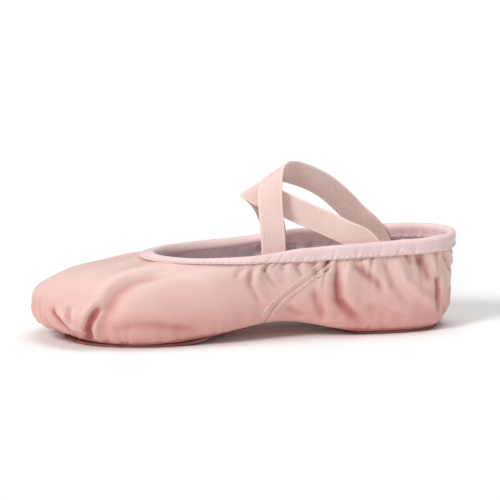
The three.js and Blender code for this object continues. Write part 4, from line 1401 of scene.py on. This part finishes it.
class MakePads(bpy.types.Operator):
    """Make the cotton-covered insoles, plump inside their stitched edges, and the foam beneath them"""

    bl_idname = "slipper.pads"
    bl_label = "Insoles and foam"

    def execute(self, context):
        form = new_form()
        for part in ("forefoot", "heel"):
            points = pad(form, outline_rows(form, part), INSOLE_SECTION, top=6.1, steps=180, count=20)
            made = add_pad(points, part + "_insole_pad", "woven_cotton", "cotton_lining", part,
                           part + "_insole")
            plump(made, steps=12, cap=0.0009)
            puffs(made, form, 0.25)
            points = pad(form, foam_rows(form, part), FOAM_SECTION, top=3.6, steps=120, count=10)
            made = add_pad(points, part + "_foam_cushion", "latex_foam", "foam", part, part + "_foam_pad")
        return {"FINISHED"}


# ---- Stage ----


def soft_light(name, away, spread, strength):
    """A broad light from far off in a direction; spread is how wide it looks, in degrees."""
    lamp = bpy.data.lights.new(name, "SUN")
    lamp.angle, lamp.energy = np.radians(spread), strength
    made = bpy.data.objects.new(name, lamp)
    made.location = Vector(away)
    made.rotation_euler = (-Vector(away)).to_track_quat("-Z", "Y").to_euler()
    bpy.context.scene.collection.objects.link(made)


class MakeStage(bpy.types.Operator):
    """Make the pale floor, the soft lights and the camera"""

    bl_idname = "slipper.stage"
    bl_label = "Floor, lights and camera"

    def execute(self, context):
        scene = context.scene
        floor_half, floor_drop = 9000.0, 0.05
        side = np.linspace(-floor_half, floor_half, 3)
        x, y = np.meshgrid(side, side, indexing="ij")
        floor = Piece()
        floor.grid(np.stack([x, y, 0 * x - floor_drop], -1))
        made = floor.make("studio_floor", "studio_floor", "suede")
        del made["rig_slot"]
        world = bpy.data.worlds.new("studio")
        world.use_nodes = True
        sky = world.node_tree.nodes["Background"].inputs
        sky[0].default_value, sky[1].default_value = (1.0, 0.99, 0.985, 1.0), 0.37
        scene.world = world
        scene.view_settings.view_transform = "Standard"
        soft_light("overhead", (0.1, 0.1, 1.0), 40.0, 1.08)
        soft_light("key", (-0.85, -0.6, 0.9), 18.0, 1.7)
        azimuth, elevation = np.radians(-9.5), np.radians(12.5)
        lens, sensor, view_width = 600.0, 36.0, 0.2757
        aside, above = 0.00316, 0.0442
        away = np.cos(elevation) * np.array([np.sin(azimuth), -np.cos(azimuth), 0.0])
        back = away + np.array([0.0, 0.0, np.sin(elevation)])
        right = np.array([np.cos(azimuth), np.sin(azimuth), 0.0])
        aim = right * aside + np.cross(back, right) * above + np.array([SHIFT, 0, 0])
        view = bpy.data.cameras.new("camera")
        view.lens, view.sensor_width = lens, sensor
        view.clip_start, view.clip_end = 0.05, 20.0
        camera = bpy.data.objects.new("camera", view)
        camera.location = aim + back * view_width * lens / sensor
        camera.rotation_mode = "QUATERNION"
        camera.rotation_quaternion = Vector(back).to_track_quat("Z", "Y")
        scene.collection.objects.link(camera)
        scene.camera = camera
        return {"FINISHED"}


# ---- Panel and start ----

STEPS = [MakeStage, MakeUpper, MakeLining, MakeTopLine, MakeSeams, MakeStraps, MakeSoles, MakePads]


class SlipperPanel(bpy.types.Panel):
    """Lists the slipper's sizes, colours and pieces in the sidebar"""

    bl_idname = "VIEW3D_PT_slipper"
    bl_label = "Ballet slipper"
    bl_space_type = "VIEW_3D"
    bl_region_type = "UI"
    bl_category = "Slipper"

    def draw(self, context):
        layout = self.layout
        for group in (context.scene.slipper_sizes, context.scene.slipper_colours):
            box = layout.box()
            for name in group.__annotations__:
                box.prop(group, name)
        for step in STEPS:
            layout.operator(step.bl_idname)


CLASSES = [SlipperSizes, SlipperColours, *STEPS, SlipperPanel]


def register():
    for made in CLASSES:
        bpy.utils.register_class(made)
    bpy.types.Scene.slipper_sizes = PointerProperty(type=SlipperSizes)
    bpy.types.Scene.slipper_colours = PointerProperty(type=SlipperColours)


def unregister():
    del bpy.types.Scene.slipper_colours
    del bpy.types.Scene.slipper_sizes
    for made in reversed(CLASSES):
        bpy.utils.unregister_class(made)


def main():
    register()
    bpy.ops.slipper.stage()
    bpy.ops.slipper.upper()
    bpy.ops.slipper.lining()
    bpy.ops.slipper.top_line()
    bpy.ops.slipper.seams()
    bpy.ops.slipper.straps()
    bpy.ops.slipper.soles()
    bpy.ops.slipper.pads()


if __name__ == "__main__":
    main()
